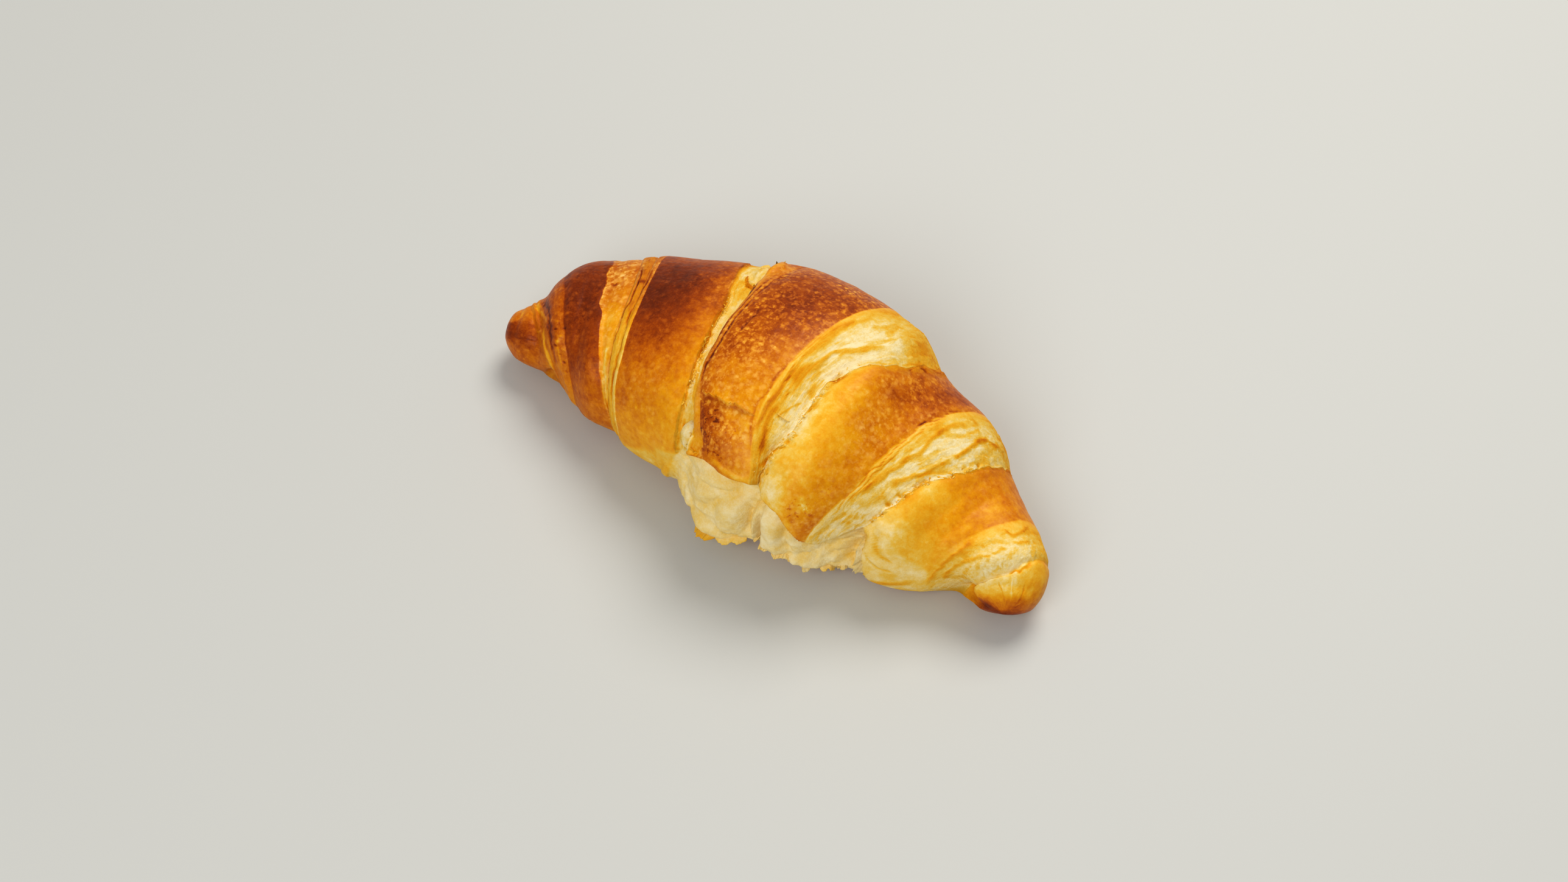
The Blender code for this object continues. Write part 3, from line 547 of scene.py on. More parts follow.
def skirt_cover(along, around):
    """Height of the pale skirt over the smooth roll, with its folds, and how fully it covers a place."""
    step = 0.5
    slope = (smooth_through(SKIRT_TOP, along + step) - smooth_through(SKIRT_TOP, along - step)) * DEGREE
    below = (smooth_through(SKIRT_TOP, along) - around) * DEGREE / np.hypot(1, slope)
    height = smooth_through(SKIRT_PROFILE, np.maximum(below, 0)) * smoothstep(SKIRT_STARTS, SKIRT_FULL, along)
    for centre, half_width, depth in SKIRT_FOLDS:
        height = height + depth * np.exp(-(((along - centre) / half_width) ** 2)) * smoothstep(0, 4, below)
    return height, smoothstep(0, SKIRT_LIP, below) * (around < 90)


def pinch_height(along, around):
    """The hollows where the nubs leave the roll."""
    height = 0.0
    for centre, angle, half_length, half_angle, depth in PINCHES:
        span = ((along - centre) / half_length) ** 2 + ((around - angle) / half_angle) ** 2
        height = height + depth * np.exp(-span)
    return height


def roll_section(along, around, height):
    """Points in millimetres on the roll, raised by height from its smooth section."""
    half = smooth_through(HALF_WIDTH, along)
    low = np.interp(along, *np.array(LIFT).T)
    body = np.clip((half - NUB_HALF_WIDTH) / (BODY_HALF_WIDTH - NUB_HALF_WIDTH), 0, 1)
    roundness = NUB_ROUNDNESS + (BODY_ROUNDNESS - NUB_ROUNDNESS) * body
    flatness = NUB_UNDERSIDE + (BODY_UNDERSIDE - NUB_UNDERSIDE) * body
    tall = 2 * half * roundness
    middle = low + tall * BELLY
    turn = np.radians(around)
    cosine, sine = np.cos(turn), np.sin(turn)
    out = half * np.sign(cosine) * np.abs(cosine) ** 0.9
    up = np.where(
        sine > 0,
        middle + (low + tall - middle) * np.abs(sine) ** 0.95,
        middle - (middle - low) * np.abs(sine) ** flatness,
    )
    lean = np.hypot(cosine / np.maximum(half, 1), sine / np.maximum(tall / 2, 1))
    tip = smoothstep(0, 8, half)  # the relief dies away at the very tips
    out = out + tip * height * cosine / np.maximum(half, 1) / lean
    up = up + tip * height * sine / np.maximum(tall / 2, 1) / lean
    place, direction = spine_at(along)
    x = place[..., 0] + direction[..., 1] * out
    y = place[..., 1] - direction[..., 0] * out
    return np.stack([x, y, np.maximum(up - SOLE_CUT, 0)], axis=-1)


# ---------------------------------------------------------------- noise
NOISE_CELLS = 48
NOISE_TABLE = np.random.default_rng(11).uniform(-1, 1, (NOISE_CELLS, NOISE_CELLS, NOISE_CELLS))


def noise(places, size, number=0):
    """Smooth lumps from -1 to 1 at these points, of about this size; each number gives another pattern."""
    at = places / size + 7.31 * (number + 1)
    cell = np.floor(at).astype(int)
    part = at - cell
    part = part * part * (3 - 2 * part)
    total = 0
    for corner in np.ndindex(2, 2, 2):
        index = (cell + corner) % NOISE_CELLS
        weight = np.where(np.array(corner) == 1, part, 1 - part).prod(axis=-1)
        total = total + weight * NOISE_TABLE[index[..., 0], index[..., 1], index[..., 2]]
    return total


def rough(places, size, number=0, octaves=3):
    """Noise with finer noise on it."""
    total = sum(noise(places, size / 2**k, number + 17 * k) / 2**k for k in range(octaves))
    return total / (2 - 2 ** (1 - octaves))


# ---------------------------------------------------------------- the fine skin
def lay_out():
    """The fine grid, columns from tip to tip by rows round, with its lanes and places in them."""
    around = np.interp(np.arange(FINE_ROWS[-1][0]), *np.array(FINE_ROWS, float).T)[None, :]
    fade = smoothstep(SOLE_TO - 360, SOLE_TO - 360 + RELIEF_FADE, around)
    fade = fade * (1 - smoothstep(SOLE_FROM - RELIEF_FADE, SOLE_FROM, around))
    back = 1 - (1 - BACK_RELIEF) * smoothstep(BACK_FROM, BACK_TO, around)
    left = np.full(around.shape, -HALF_LENGTH)
    edges = list(EDGES)
    parts = []
    for number, (name, (columns, profile)) in enumerate(LANES.items()):
        if number < len(edges):
            right = edge_at(edges[number], around)
            size, wave = EDGE_WANDER.get(edges[number], EDGE_WANDER[""])
            arc = np.stack([around * DEGREE, around * 0 + 31 * number, around * 0], axis=-1)
            right = right + size * (rough(arc, wave, octaves=2) + 0.45 * rough(arc, 2.6, 5, octaves=2)) * fade
        else:
            right = np.full(around.shape, HALF_LENGTH)
        even = np.linspace(0, 1, columns, endpoint=False)
        place, height = profile_at(profile, even)
        covered = skirt_cover(left + even[:, None] * (right - left), around)[1]
        place = even[:, None] + (place - even)[:, None] * fade * (1 - covered)
        along = left + place * (right - left)
        parts.append((
            along,
            np.broadcast_to(around, along.shape),
            height[:, None] * fade * back,
            np.full(along.shape, number),
            np.broadcast_to(even[:, None], along.shape),
            np.broadcast_to(fade, along.shape),
            np.broadcast_to(LANE_SPACING * number + even[:, None] * LANE_WIDTH, along.shape),
        ))
        left = right
    tip = np.full(around.shape, HALF_LENGTH)
    last = len(LANES) - 1
    across = tip * 0 + LANE_SPACING * last + LANE_WIDTH
    parts.append((tip, around, tip * 0, np.full(around.shape, last), tip * 0 + 1, fade, across))
    names = ("along", "around", "height", "lane", "run", "fade", "across")
    return {name: np.concatenate([part[k] for part in parts]) for k, name in enumerate(names)}


def across_lane(grid, tables):
    """For each point, its lane's curve read at the share of the lane's profile."""
    value = np.zeros(grid["along"].shape)
    for number, name in enumerate(LANES):
        if name in tables:
            here = grid["lane"] == number
            value[here] = np.interp(grid["run"][here], *np.array(tables[name], float).T)
    return value


def lane_bake(grid, places):
    """How far each lane is baked, round the roll and across the lane. The looked-up places wander."""
    value = np.zeros(grid["along"].shape)
    around = grid["around"] + 7 * rough(places, 7, 31)
    share = np.clip(grid["run"] + 0.12 * rough(places, 5, 32), 0, 1)
    for number, name in enumerate(LANES):
        here = grid["lane"] == number
        rows = BAKE[name]
        curves = np.array([
            smooth_through([(row[0], row[k]) for row in rows], around[here]) for k in range(1, len(rows[0]))
        ])
        at = share[here] * (len(curves) - 1)
        low = np.minimum(at.astype(int), len(curves) - 2)
        index = np.arange(at.size)
        value[here] = curves[low, index] * (1 - at + low) + curves[low + 1, index] * (at - low)
    return value


def line_on_skin(points, count):
    """This many places (along, arc in mm) on a smooth line through the (along, round) points."""
    corners = np.array(points, float) * (1, DEGREE)
    steps = np.arange(len(corners))
    fine = np.linspace(0, steps[-1], count)
    return np.stack([smooth_through(list(zip(steps, corners[:, k])), fine) for k in (0, 1)], axis=-1)


def near_line(points, reach, along, around):
    """Which places lie in the box round a line that is this many mm larger on each side."""
    margin = (reach, reach / DEGREE)
    low, high = np.min(points, axis=0) - margin, np.max(points, axis=0) + margin
    return (along > low[0]) & (along < high[0]) & (around > low[1]) & (around < high[1])


def stroke_gap(points, along, arc):
    """Distance in mm from each place to a smooth line through the points, and the share run by then."""
    line = line_on_skin(points, 5 * (len(points) - 1) + 1)
    gap = np.full(along.shape, np.inf)
    share = np.zeros(along.shape)
    for k, (start, end) in enumerate(zip(line[:-1], line[1:])):
        run = end - start
        reach = np.clip(((along - start[0]) * run[0] + (arc - start[1]) * run[1]) / (run @ run), 0, 1)
        away = np.hypot(along - start[0] - reach * run[0], arc - start[1] - reach * run[1])
        nearer = away < gap
        gap = np.where(nearer, away, gap)
        share = np.where(nearer, (k + reach) / (len(line) - 1), share)
    return gap, share


def strokes(along, around, measure):
    """Added bake and height of the listed lines. They wander, and thin out towards their ends."""
    arc = around * DEGREE
    shifted = along + 0.5 * noise(measure, 3.1, 41) + 0.12 * noise(measure, 1.1, 42)
    bake, height = np.zeros(along.shape), np.zeros(along.shape)
    for number, (half_width, added, raised, points) in enumerate(STROKES):
        near = near_line(points, 4, along, around)
        gap, share = stroke_gap(points, shifted[near], arc[near])
        swell = np.clip(1 + 0.5 * noise(measure[near], 7, 43 + number), 0.4, 1.6)
        ends = smoothstep(0, 0.12, share) * (1 - smoothstep(0.88, 1, share))
        shape = np.exp(-((gap / (half_width * swell)) ** 3)) * (0.25 + 0.75 * ends)
        bake[near] += added * shape
        height[near] += raised * shape
    return bake, height


def patches(along, around, measure):
    """Added bake of the soft patches."""
    bake = np.zeros(along.shape)
    wander = 1 + 0.35 * noise(measure, 3, 51)
    for middle, angle, half_length, half_angle, added in PATCHES:
        span = ((along - middle) / half_length) ** 2 + ((around - angle) / half_angle) ** 2
        bake = bake + added * np.exp(-span * wander)
    return bake


def domes(table, along, around, power):
    """The tallest of the rounded or soft shapes at each place."""
    height = np.zeros(along.shape)
    for middle, angle, half_length, half_angle, tall in table:
        span = ((along - middle) / half_length) ** 2 + ((around - angle) / half_angle) ** 2
        height = np.maximum(height, tall * np.maximum(1 - span, 0) ** power)
    return height


def creases(along, around, measure):
    """Depth of the sharp valleys."""
    arc = around * DEGREE
    shifted = along + 0.5 * noise(measure, 2.6, 71)
    depth = np.zeros(along.shape)
    for reach, deep, points in CREASES:
        near = near_line(points, 8, along, around)
        gap, share = stroke_gap(points, shifted[near], arc[near])
        ends = smoothstep(0, 0.15, share) * (1 - smoothstep(0.85, 1, share))
        depth[near] = np.maximum(depth[near], deep * np.exp(-gap / reach) * (0.2 + 0.8 * ends))
    return depth


def spots(along, around):
    """Added bake and height of the small pits and scuffs; the bake darkening the pits is painted shade."""
    bake, height = np.zeros(along.shape), np.zeros(along.shape)
    for middle, angle, radius, added, raised in SPOTS:
        shape = np.exp(-(((along - middle) ** 2 + ((around - angle) * DEGREE) ** 2) / radius**2))
        bake = bake + added * shape
        height = height + raised * shape
    return bake, height


def tears(along, around, places):
    """Crumbly pits beside the torn edges: how crumbly each place is, with added bake and height. The bake
    that darkens the holes is painted shade in them.
    """
    crumbly, bake, height = np.zeros(along.shape), np.zeros(along.shape), np.zeros(along.shape)
    lumps = rough(places, 1.0, 61)
    holes = smoothstep(0.1, 0.35, rough(places, 1.5, 62)) * smoothstep(-0.2, 0.3, noise(places, 5, 63))
    for name, left, right in TEARS:
        gap = along - edge_at(name, around)
        near = smoothstep(-left, -0.4 * left, gap) * (1 - smoothstep(0.2 * right, right, gap))
        crumbly = np.maximum(crumbly, near)
    # the darkening in the holes is painted shade
    bake = crumbly * (0.28 * crumbly * holes - 0.06 + 0.08 * lumps)
    height = crumbly * (0.4 * lumps - 0.6 * crumbly * holes)
    return crumbly, bake, height


def below_line(points, along, around):
    """How many mm each place lies below a line, measured square to it."""
    step = 0.5
    slope = (smooth_through(points, along + step) - smooth_through(points, along - step)) * DEGREE
    return (smooth_through(points, along) - around) * DEGREE / np.hypot(1, slope)


def between_ends(points, first, last, along):
    """1 between the ends of a line, falling to 0 at them over these lengths (mm)."""
    start, end = points[0][0], points[-1][0]
    return smoothstep(start, start + first, along) * (1 - smoothstep(end - last, end, along))


def aprons(bake, along, around, measure):
    """The pale dough low on the front, which didn't brown: the bake with it blended in, and where it is."""
    pale = np.zeros(along.shape)
    for points, level, soft in APRONS:
        inside = (along > points[0][0]) & (along < points[-1][0])
        below = below_line(points, along, around) + 1.3 * rough(measure, 4, 52)
        cover = smoothstep(0, soft, below) * between_ends(points, 3, 2, along) * inside
        bake = bake * (1 - cover) + (level + 0.12 * rough(measure, 4, 53)) * cover
        pale = np.maximum(pale, cover)
    return bake, pale


def ledge(along, around):
    """Added bake and height where the flap's cracked outer layer steps down to the folded tip: a paler
    rim at the edge, painted shade in a band just below the step, and a little more brown over the drop.
    """
    below = below_line(LEDGE, along, around)
    ends = between_ends(LEDGE, 2, 2, along)
    step = smoothstep(0, 0.35, below) * (1 - smoothstep(2, LEDGE_REACH, below)) * ends
    rim = np.exp(-(((below + 0.1) / 0.25) ** 2)) * ends
    # painted shade in a band just below the step
    shade = np.exp(-(((below - 0.6) / 0.5) ** 2)) * ends
    return 0.12 * shade - 0.16 * rim + 0.05 * step, -LEDGE_DROP * step + 0.15 * rim


def skin_detail(grid):
    """What each point of the fine skin carries: bake, torn, strand and height."""
    along, around, fade = grid["along"], grid["around"], grid["fade"]
    places = roll_section(along, around, np.zeros(along.shape))
    measure = np.stack([along, around * DEGREE, np.zeros(along.shape)], axis=-1)
    torn = across_lane(grid, TORN)
    height = grid["height"]
    bake = lane_bake(grid, places) + patches(along, around, measure)
    bake = bake + across_lane(grid, RIMS) * (0.45 + 0.55 * smoothstep(35, 65, around))
    bake, pale = aprons(bake, along, around, measure)

    # crust: gentle lumps and small blisters
    crust = 1 - torn
    gentle = CRUST_LUMP * rough(places, 14, 1) + CRUST_BLISTER * rough(places, 2.6, 2)
    height = height + fade * crust * gentle
    # torn strips: thin layers that run along the strip
    across = grid["across"] + 1.3 * noise(measure * (1, 0.4, 1), 6, 3)
    across = across + 0.5 * noise(measure * (1, 0.5, 1), 2.2, 4)
    layer = across / LAYER_WIDTH
    step = layer - np.floor(layer)
    layered = torn * smoothstep(-0.3, 0.4, noise(measure * (1, 0.5, 1), 8, 11))
    height = height + fade * layered * LAYER_STEP * (0.5 - step)
    uneven = TORN_LUMP * rough(measure * (1, 0.6, 1), 3.2, 5) + TORN_GRAIN * rough(places, 1.2, 12)
    height = height + fade * torn * uneven
    bake = bake + layered * 0.08 * smoothstep(0.6, 1, step)

    for added, raised in (strokes(along, around, measure), spots(along, around), ledge(along, around)):
        bake = bake + added
        height = height + raised * fade
    crumbly, added, raised = tears(along, around, places)
    bake = bake + added * fade
    height = height + raised * fade
    torn = np.maximum(torn, crumbly)

    # the skirt; darker in its creases and low crumples as painted shade, paler on raised crumples as painted
    # light
    below_height, covered = skirt_cover(along, around)
    crumple = 0.5 * rough(places, 9, 7) + 0.7 * np.abs(rough(places, 4.5, 8)) + 0.28 * rough(places, 2.0, 9)
    crumple = crumple + 0.5 * rough(places, 1.6, 13) * smoothstep(-6, -13, around)
    height = height * (1 - covered) + (below_height + crumple) * fade * covered
    valley = creases(along, around, measure)
    height = height + fade * (domes(LUMPS, along, around, 0.5) - valley)
    skirt = SKIRT_BAKE + 0.13 * rough(places, 6, 10) + 0.08 * smoothstep(-1, -8, along)
    # painted shade: bake rises with the crease depth and in low crumples; painted light: it falls on raised
    # crumples
    skirt = skirt + 0.03 * valley - 0.1 * crumple
    bake = bake * (1 - covered) + skirt * covered
    strand = torn * (1 - covered) * (1 - pale)
    torn = np.maximum(torn * (1 - covered) + SKIRT_TORN * covered, APRON_TORN * pale)

    # the sole bakes an even brown on its tray
    full, gone = SOLE_BLEND_FRONT
    gone = gone - NUB_SOLE_DROP * smoothstep(NUB_SOLE_STARTS, NUB_SOLE_FULL, along)
    sole = np.maximum(smoothstep(*SOLE_BLEND_BACK, around), 1 - smoothstep(full, gone, around))
    bake = bake * (1 - sole) + np.interp(along, *np.array(SOLE_BAKE).T) * sole
    mottle = np.array([MOTTLE.get(name, 1.0) for name in LANES])[grid["lane"]]
    mottle = mottle * (1 + 0.6 * noise(places, 9, 14))
    speck = domes(SPECKLED, along, around, 0.7) * (1 - covered)
    lobe = domes(LUMPS[:1], along, around, 0.25) > 0
    bake = np.where(lobe, 0.08 + 0.3 * np.maximum(bake - 0.3, 0), bake)
    height = height + pinch_height(along, around)
    return {"bake": bake, "torn": torn, "strand": strand, "speck": speck, "mottle": mottle, "height": height}


def finished_skin():
    """The fine grid with its details and its points, in mm in the frame of the roll."""
    grid = lay_out()
    grid.update(skin_detail(grid))
    grid["points"] = roll_section(grid["along"], grid["around"], grid["height"])
    down = np.roll(grid["points"], -1, axis=1) - np.roll(grid["points"], 1, axis=1)
    side = np.gradient(grid["points"], axis=0)
    normal = np.cross(side, down)
    grid["normal"] = normal / np.maximum(np.linalg.norm(normal, axis=-1), 1e-9)[..., None]
    return grid


def mesh_piece(name, corners, faces, carried, material):
    """A piece from corners in mm in the frame of the roll, with what each corner carries for the material."""
    mesh = bpy.data.meshes.new(name)
    mesh.from_pydata(((corners - (*BASE_MIDDLE, 0)) * MM).tolist(), [], faces)
    mesh.validate()
    mesh.shade_smooth()
    for key, values in carried.items():
        values = np.broadcast_to(values, len(corners)).astype(np.float32)
        mesh.attributes.new(key, "FLOAT", "POINT").data.foreach_set("value", values)
    mesh.materials.append(material)
    piece = bpy.data.objects.new(name, mesh)
    bpy.context.scene.collection.objects.link(piece)
    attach(piece, "root")
    return piece


def skin_piece(skin, material):
    """The crust: the grid closed round the roll, its two end columns drawn together to one corner each."""
    def at_corners(values):
        return np.concatenate([values[:1, 0], values[1:-1].reshape(-1, *values.shape[2:]), values[-1:, 0]])

    columns, rows = skin["along"].shape
    number = 1 + np.arange((columns - 2) * rows).reshape(columns - 2, rows)
    beside = np.roll(number, -1, axis=1)
    quads = np.stack([number[:-1], number[1:], beside[1:], beside[:-1]], axis=-1).reshape(-1, 4)
    first = np.stack([np.zeros(rows, int), number[0], beside[0]], axis=-1)
    last = np.stack([np.full(rows, number[-1, -1] + 1), beside[-1], number[-1]], axis=-1)
    faces = quads.tolist() + first.tolist() + last.tolist()
    carried = {name: at_corners(skin[name]) for name in CARRIED}
    carried["arc"] = at_corners(skin["around"] * DEGREE)
    return mesh_piece("crust", at_corners(skin["points"]), faces, carried, material)


# ---------------------------------------------------------------- thin flakes and crumbs
def curve_through(points, spacing):
    """Points this far apart along a smooth line through the given (along, round) points."""
    line = line_on_skin(points, 30 * len(points))
    length = np.concatenate([[0], np.cumsum(np.hypot(*np.diff(line, axis=0).T))])
    even = np.linspace(0, length[-1], max(4, round(length[-1] / spacing)))
    return np.stack([np.interp(even, length, line[:, k]) for k in (0, 1)], axis=-1) / (1, DEGREE)


def on_skin(skin, along, around):
    """Places and outward directions on the finished skin, at its nearest corners."""
    flat_along, flat_arc = skin["along"].ravel(), skin["around"].ravel() * DEGREE
    nearest = [np.argmin((flat_along - a) ** 2 + (flat_arc - b * DEGREE) ** 2) for a, b in zip(along, around)]
    return skin["points"].reshape(-1, 3)[nearest], skin["normal"].reshape(-1, 3)[nearest]


def tube_faces(rings, corners):
    """Faces of a strip of rings with this many corners each, with its two ends closed."""
    faces = []
    for ring in range(rings - 1):
        for k in range(corners):
            here, after = ring * corners + k, ring * corners + (k + 1) % corners
            faces.append((here, after, after + corners, here + corners))
    return faces + [tuple(range(corners))[::-1], tuple((rings - 1) * corners + k for k in range(corners))]


def ribbon(skin, points, tall, lean, thickness, number):
    """A thin ragged wall of dough standing on the skin along a line, leaning sideways by lean."""
    path = curve_through(points, 0.35)
    along, around = path.T
    place, out = on_skin(skin, along, around)
    share = np.linspace(0, 1, len(path))
    forward = np.gradient(place, axis=0)
    forward /= np.maximum(np.linalg.norm(forward, axis=1), 1e-6)[:, None]
    side = np.cross(out, forward)
    seed = np.stack([share * 60, np.full(len(path), 3.7 * number), share * 0], axis=-1)
    rise = tall * np.sin(np.pi * share) ** 0.5 * (0.75 + 0.5 * rough(seed, 5, number)) + 0.05
    rings = []
    for level, sway, half in ((-0.4, 0.0, 0.5), (0.5, 0.35, 0.42), (1.0, 1.0, 0.12)):
        middle = place + out * (rise * level)[:, None] + side * (lean * rise * sway)[:, None]
        rings.append((middle - side * thickness * half, middle + side * thickness * half))
    (a, b), (c, d), (e, f) = rings
    corners = np.stack([a, c, e, f, d, b], axis=1)
    return corners.reshape(-1, 3), tube_faces(len(path), 6), np.tile([0, 0.5, 1, 1, 0.5, 0], len(path))


def foot_flake(skin, middle, angle, wide, reach, droop, number):
    """A thin ragged flake that sticks out of the skirt's foot."""
    across, outward = 25, 6
    a, b = np.meshgrid(np.linspace(-1, 1, across), np.linspace(0, 1, outward), indexing="ij")
    seed = np.stack([a * wide, b * 2, np.full(a.shape, 5.0 * number)], axis=-1)
    ragged = (1 - np.abs(a) ** 3) * np.maximum(1 + 0.7 * rough(seed * (1, 0, 1), 1.0, number), 0.2) + 0.05
    along = middle + a[:, 0] * wide / 2
    place, normal = on_skin(skin, along, np.full(across, float(angle)))
    place = place.mean(axis=0) + (place - place.mean(axis=0)) * 0.8
    away = normal * (1, 1, 0)
    away = away.mean(axis=0) / np.linalg.norm(away.mean(axis=0))
    start = place[:, None, :] - away * 1.0
    out = (b * (reach * ragged + 1.0))[..., None] * away
    z = 0.4 * rough(seed, 2.2, number + 3) * b - droop * b**1.4
    top = start + out
    top = top + np.stack([z * 0, z * 0, z + 0.12 * (1 - 0.7 * b)], axis=-1)
    low = top - np.stack([z * 0, z * 0, 0.3 - 0.2 * b], axis=-1)
    corners = np.concatenate([top.reshape(-1, 3), low.reshape(-1, 3)])
    index = np.arange(across * outward).reshape(across, outward)
    under = index + index.size
    faces = []
    for i in range(across - 1):
        for j in range(outward - 1):
            faces.append((index[i, j], index[i + 1, j], index[i + 1, j + 1], index[i, j + 1]))
            faces.append((under[i, j], under[i, j + 1], under[i + 1, j + 1], under[i + 1, j]))
    rim = [*index[:, 0], *index[-1, 1:], *index[-2::-1, -1], *index[0, -2:0:-1]]
    for here, after in zip(rim, rim[1:] + rim[:1]):
        faces.append((here, here + index.size, after + index.size, after))
    return corners, [tuple(int(k) for k in face) for face in faces], np.tile(b.ravel(), 2)


def crumb(place, out, size, chance):
    """A small lump of dough on the skin, of uneven shape."""
    turn = chance.uniform(0, 2 * np.pi)
    first = np.cross(out, (np.cos(turn), np.sin(turn), 0.3))
    first = first / np.linalg.norm(first)
    second = np.cross(out, first) * chance.uniform(1, 2.6)
    angle = np.linspace(0, 2 * np.pi, CRUMB_SIDES, endpoint=False)
    circle = np.outer(np.cos(angle), first) + np.outer(np.sin(angle), second)
    rings = []
    for level, wide in ((-0.4, 0.8), (0.05, 1.0), (0.35, 0.5)):
        radius = size * wide * chance.uniform(0.6, 1.3, (CRUMB_SIDES, 1))
        rings.append(place + out * level * size + radius * circle)
    return np.concatenate(rings), tube_faces(3, CRUMB_SIDES), np.full(3 * CRUMB_SIDES, chance.uniform())


def crumbs(skin):
    """The crumbs along the torn edges."""
    chance = np.random.default_rng(5)
    parts = []
    for name, count, low, high, shift, spread in CRUMBS:
        around = chance.uniform(low, high, count)
        along = edge_at(name, around) + shift + spread * chance.normal(size=count)
        places, outs = on_skin(skin, along, around)
        sizes = chance.uniform(*CRUMB_SIZE, count)
        parts += [crumb(*numbers, chance) for numbers in zip(places, outs, sizes)]
    return parts


def join(parts):
    """Several (corners, faces, share) as one."""
    corners, faces, shares, count = [], [], [], 0
    for part, part_faces, share in parts:
        corners.append(part)
        faces += [tuple(count + k for k in face) for face in part_faces]
        shares.append(share)
        count += len(part)
    return np.concatenate(corners), faces, np.concatenate(shares)


def add_flakes(skin, material):
    """Ribbons and crumbs on the torn edges, and flakes at the skirt's foot."""
    parts, bakes = [], []
    for number, (tall, lean, thickness, low_bake, high_bake, points) in enumerate(RIBBONS):
        part = ribbon(skin, points, tall, lean, thickness, number)
        parts.append(part)
        bakes.append(low_bake + (high_bake - low_bake) * part[2])
    for number, (middle, angle, wide, reach, droop, low_bake, high_bake) in enumerate(FOOT_FLAKES):
        part = foot_flake(skin, middle, angle, wide, reach, droop, number)
        parts.append(part)
        bakes.append(low_bake + (high_bake - low_bake) * part[2])
    for part in crumbs(skin):
        parts.append(part)
        bakes.append(CRUMB_BAKE[0] + (CRUMB_BAKE[1] - CRUMB_BAKE[0]) * part[2])
    corners, faces, share = join(parts)
    carried = {"bake": np.concatenate(bakes), "torn": FLAKE_TORN}
    carried.update(dict.fromkeys(("strand", "across", "arc", "speck", "mottle"), 0.0))
    return mesh_piece("flakes", corners, faces, carried, material)


# ---------------------------------------------------------------- materials
def linear(red, green, blue):
    """A colour from 0-255 sRGB values."""
    share = np.array([red, green, blue]) / 255
    return tuple(np.where(share <= 0.04045, share / 12.92, ((share + 0.055) / 1.055) ** 2.4)) + (1.0,)


CRUST_RAMP = [  # (bake, colour as 0-255 sRGB)
    (0.0, (246, 228, 178)),
    (0.1, (240, 212, 140)),
    (0.2, (236, 194, 84)),
    (0.3, (234, 176, 44)),
    (0.44, (227, 153, 8)),
    (0.6, (207, 122, 0)),
    (0.72, (184, 94, 0)),
    (0.84, (150, 64, 2)),
    (0.93, (118, 45, 4)),
    (1.0, (94, 34, 6)),
]
CREAM = (244, 196, 122)  # of the pale flecks and islands in the glaze
FLECKS = [(520, 0.7), (950, 0.5)]  # cells per metre, strength
ISLANDS = [(330, 0.2), (760, 0.34)]
STRAND_STRETCH = 0.25  # patterns in the torn strips are this much slower along them than across
GLAZED_ROUGHNESS, TORN_ROUGHNESS, SPECULAR = 0.4, 0.65, 0.15
BUMP_STRENGTH, BUMP_DEPTH = 0.7, 0.0004
FLOOR_HALF, FLOOR_COLOUR, FLOOR_ROUGHNESS = 1.5, (0.55, 0.55, 0.52, 1), 0.6


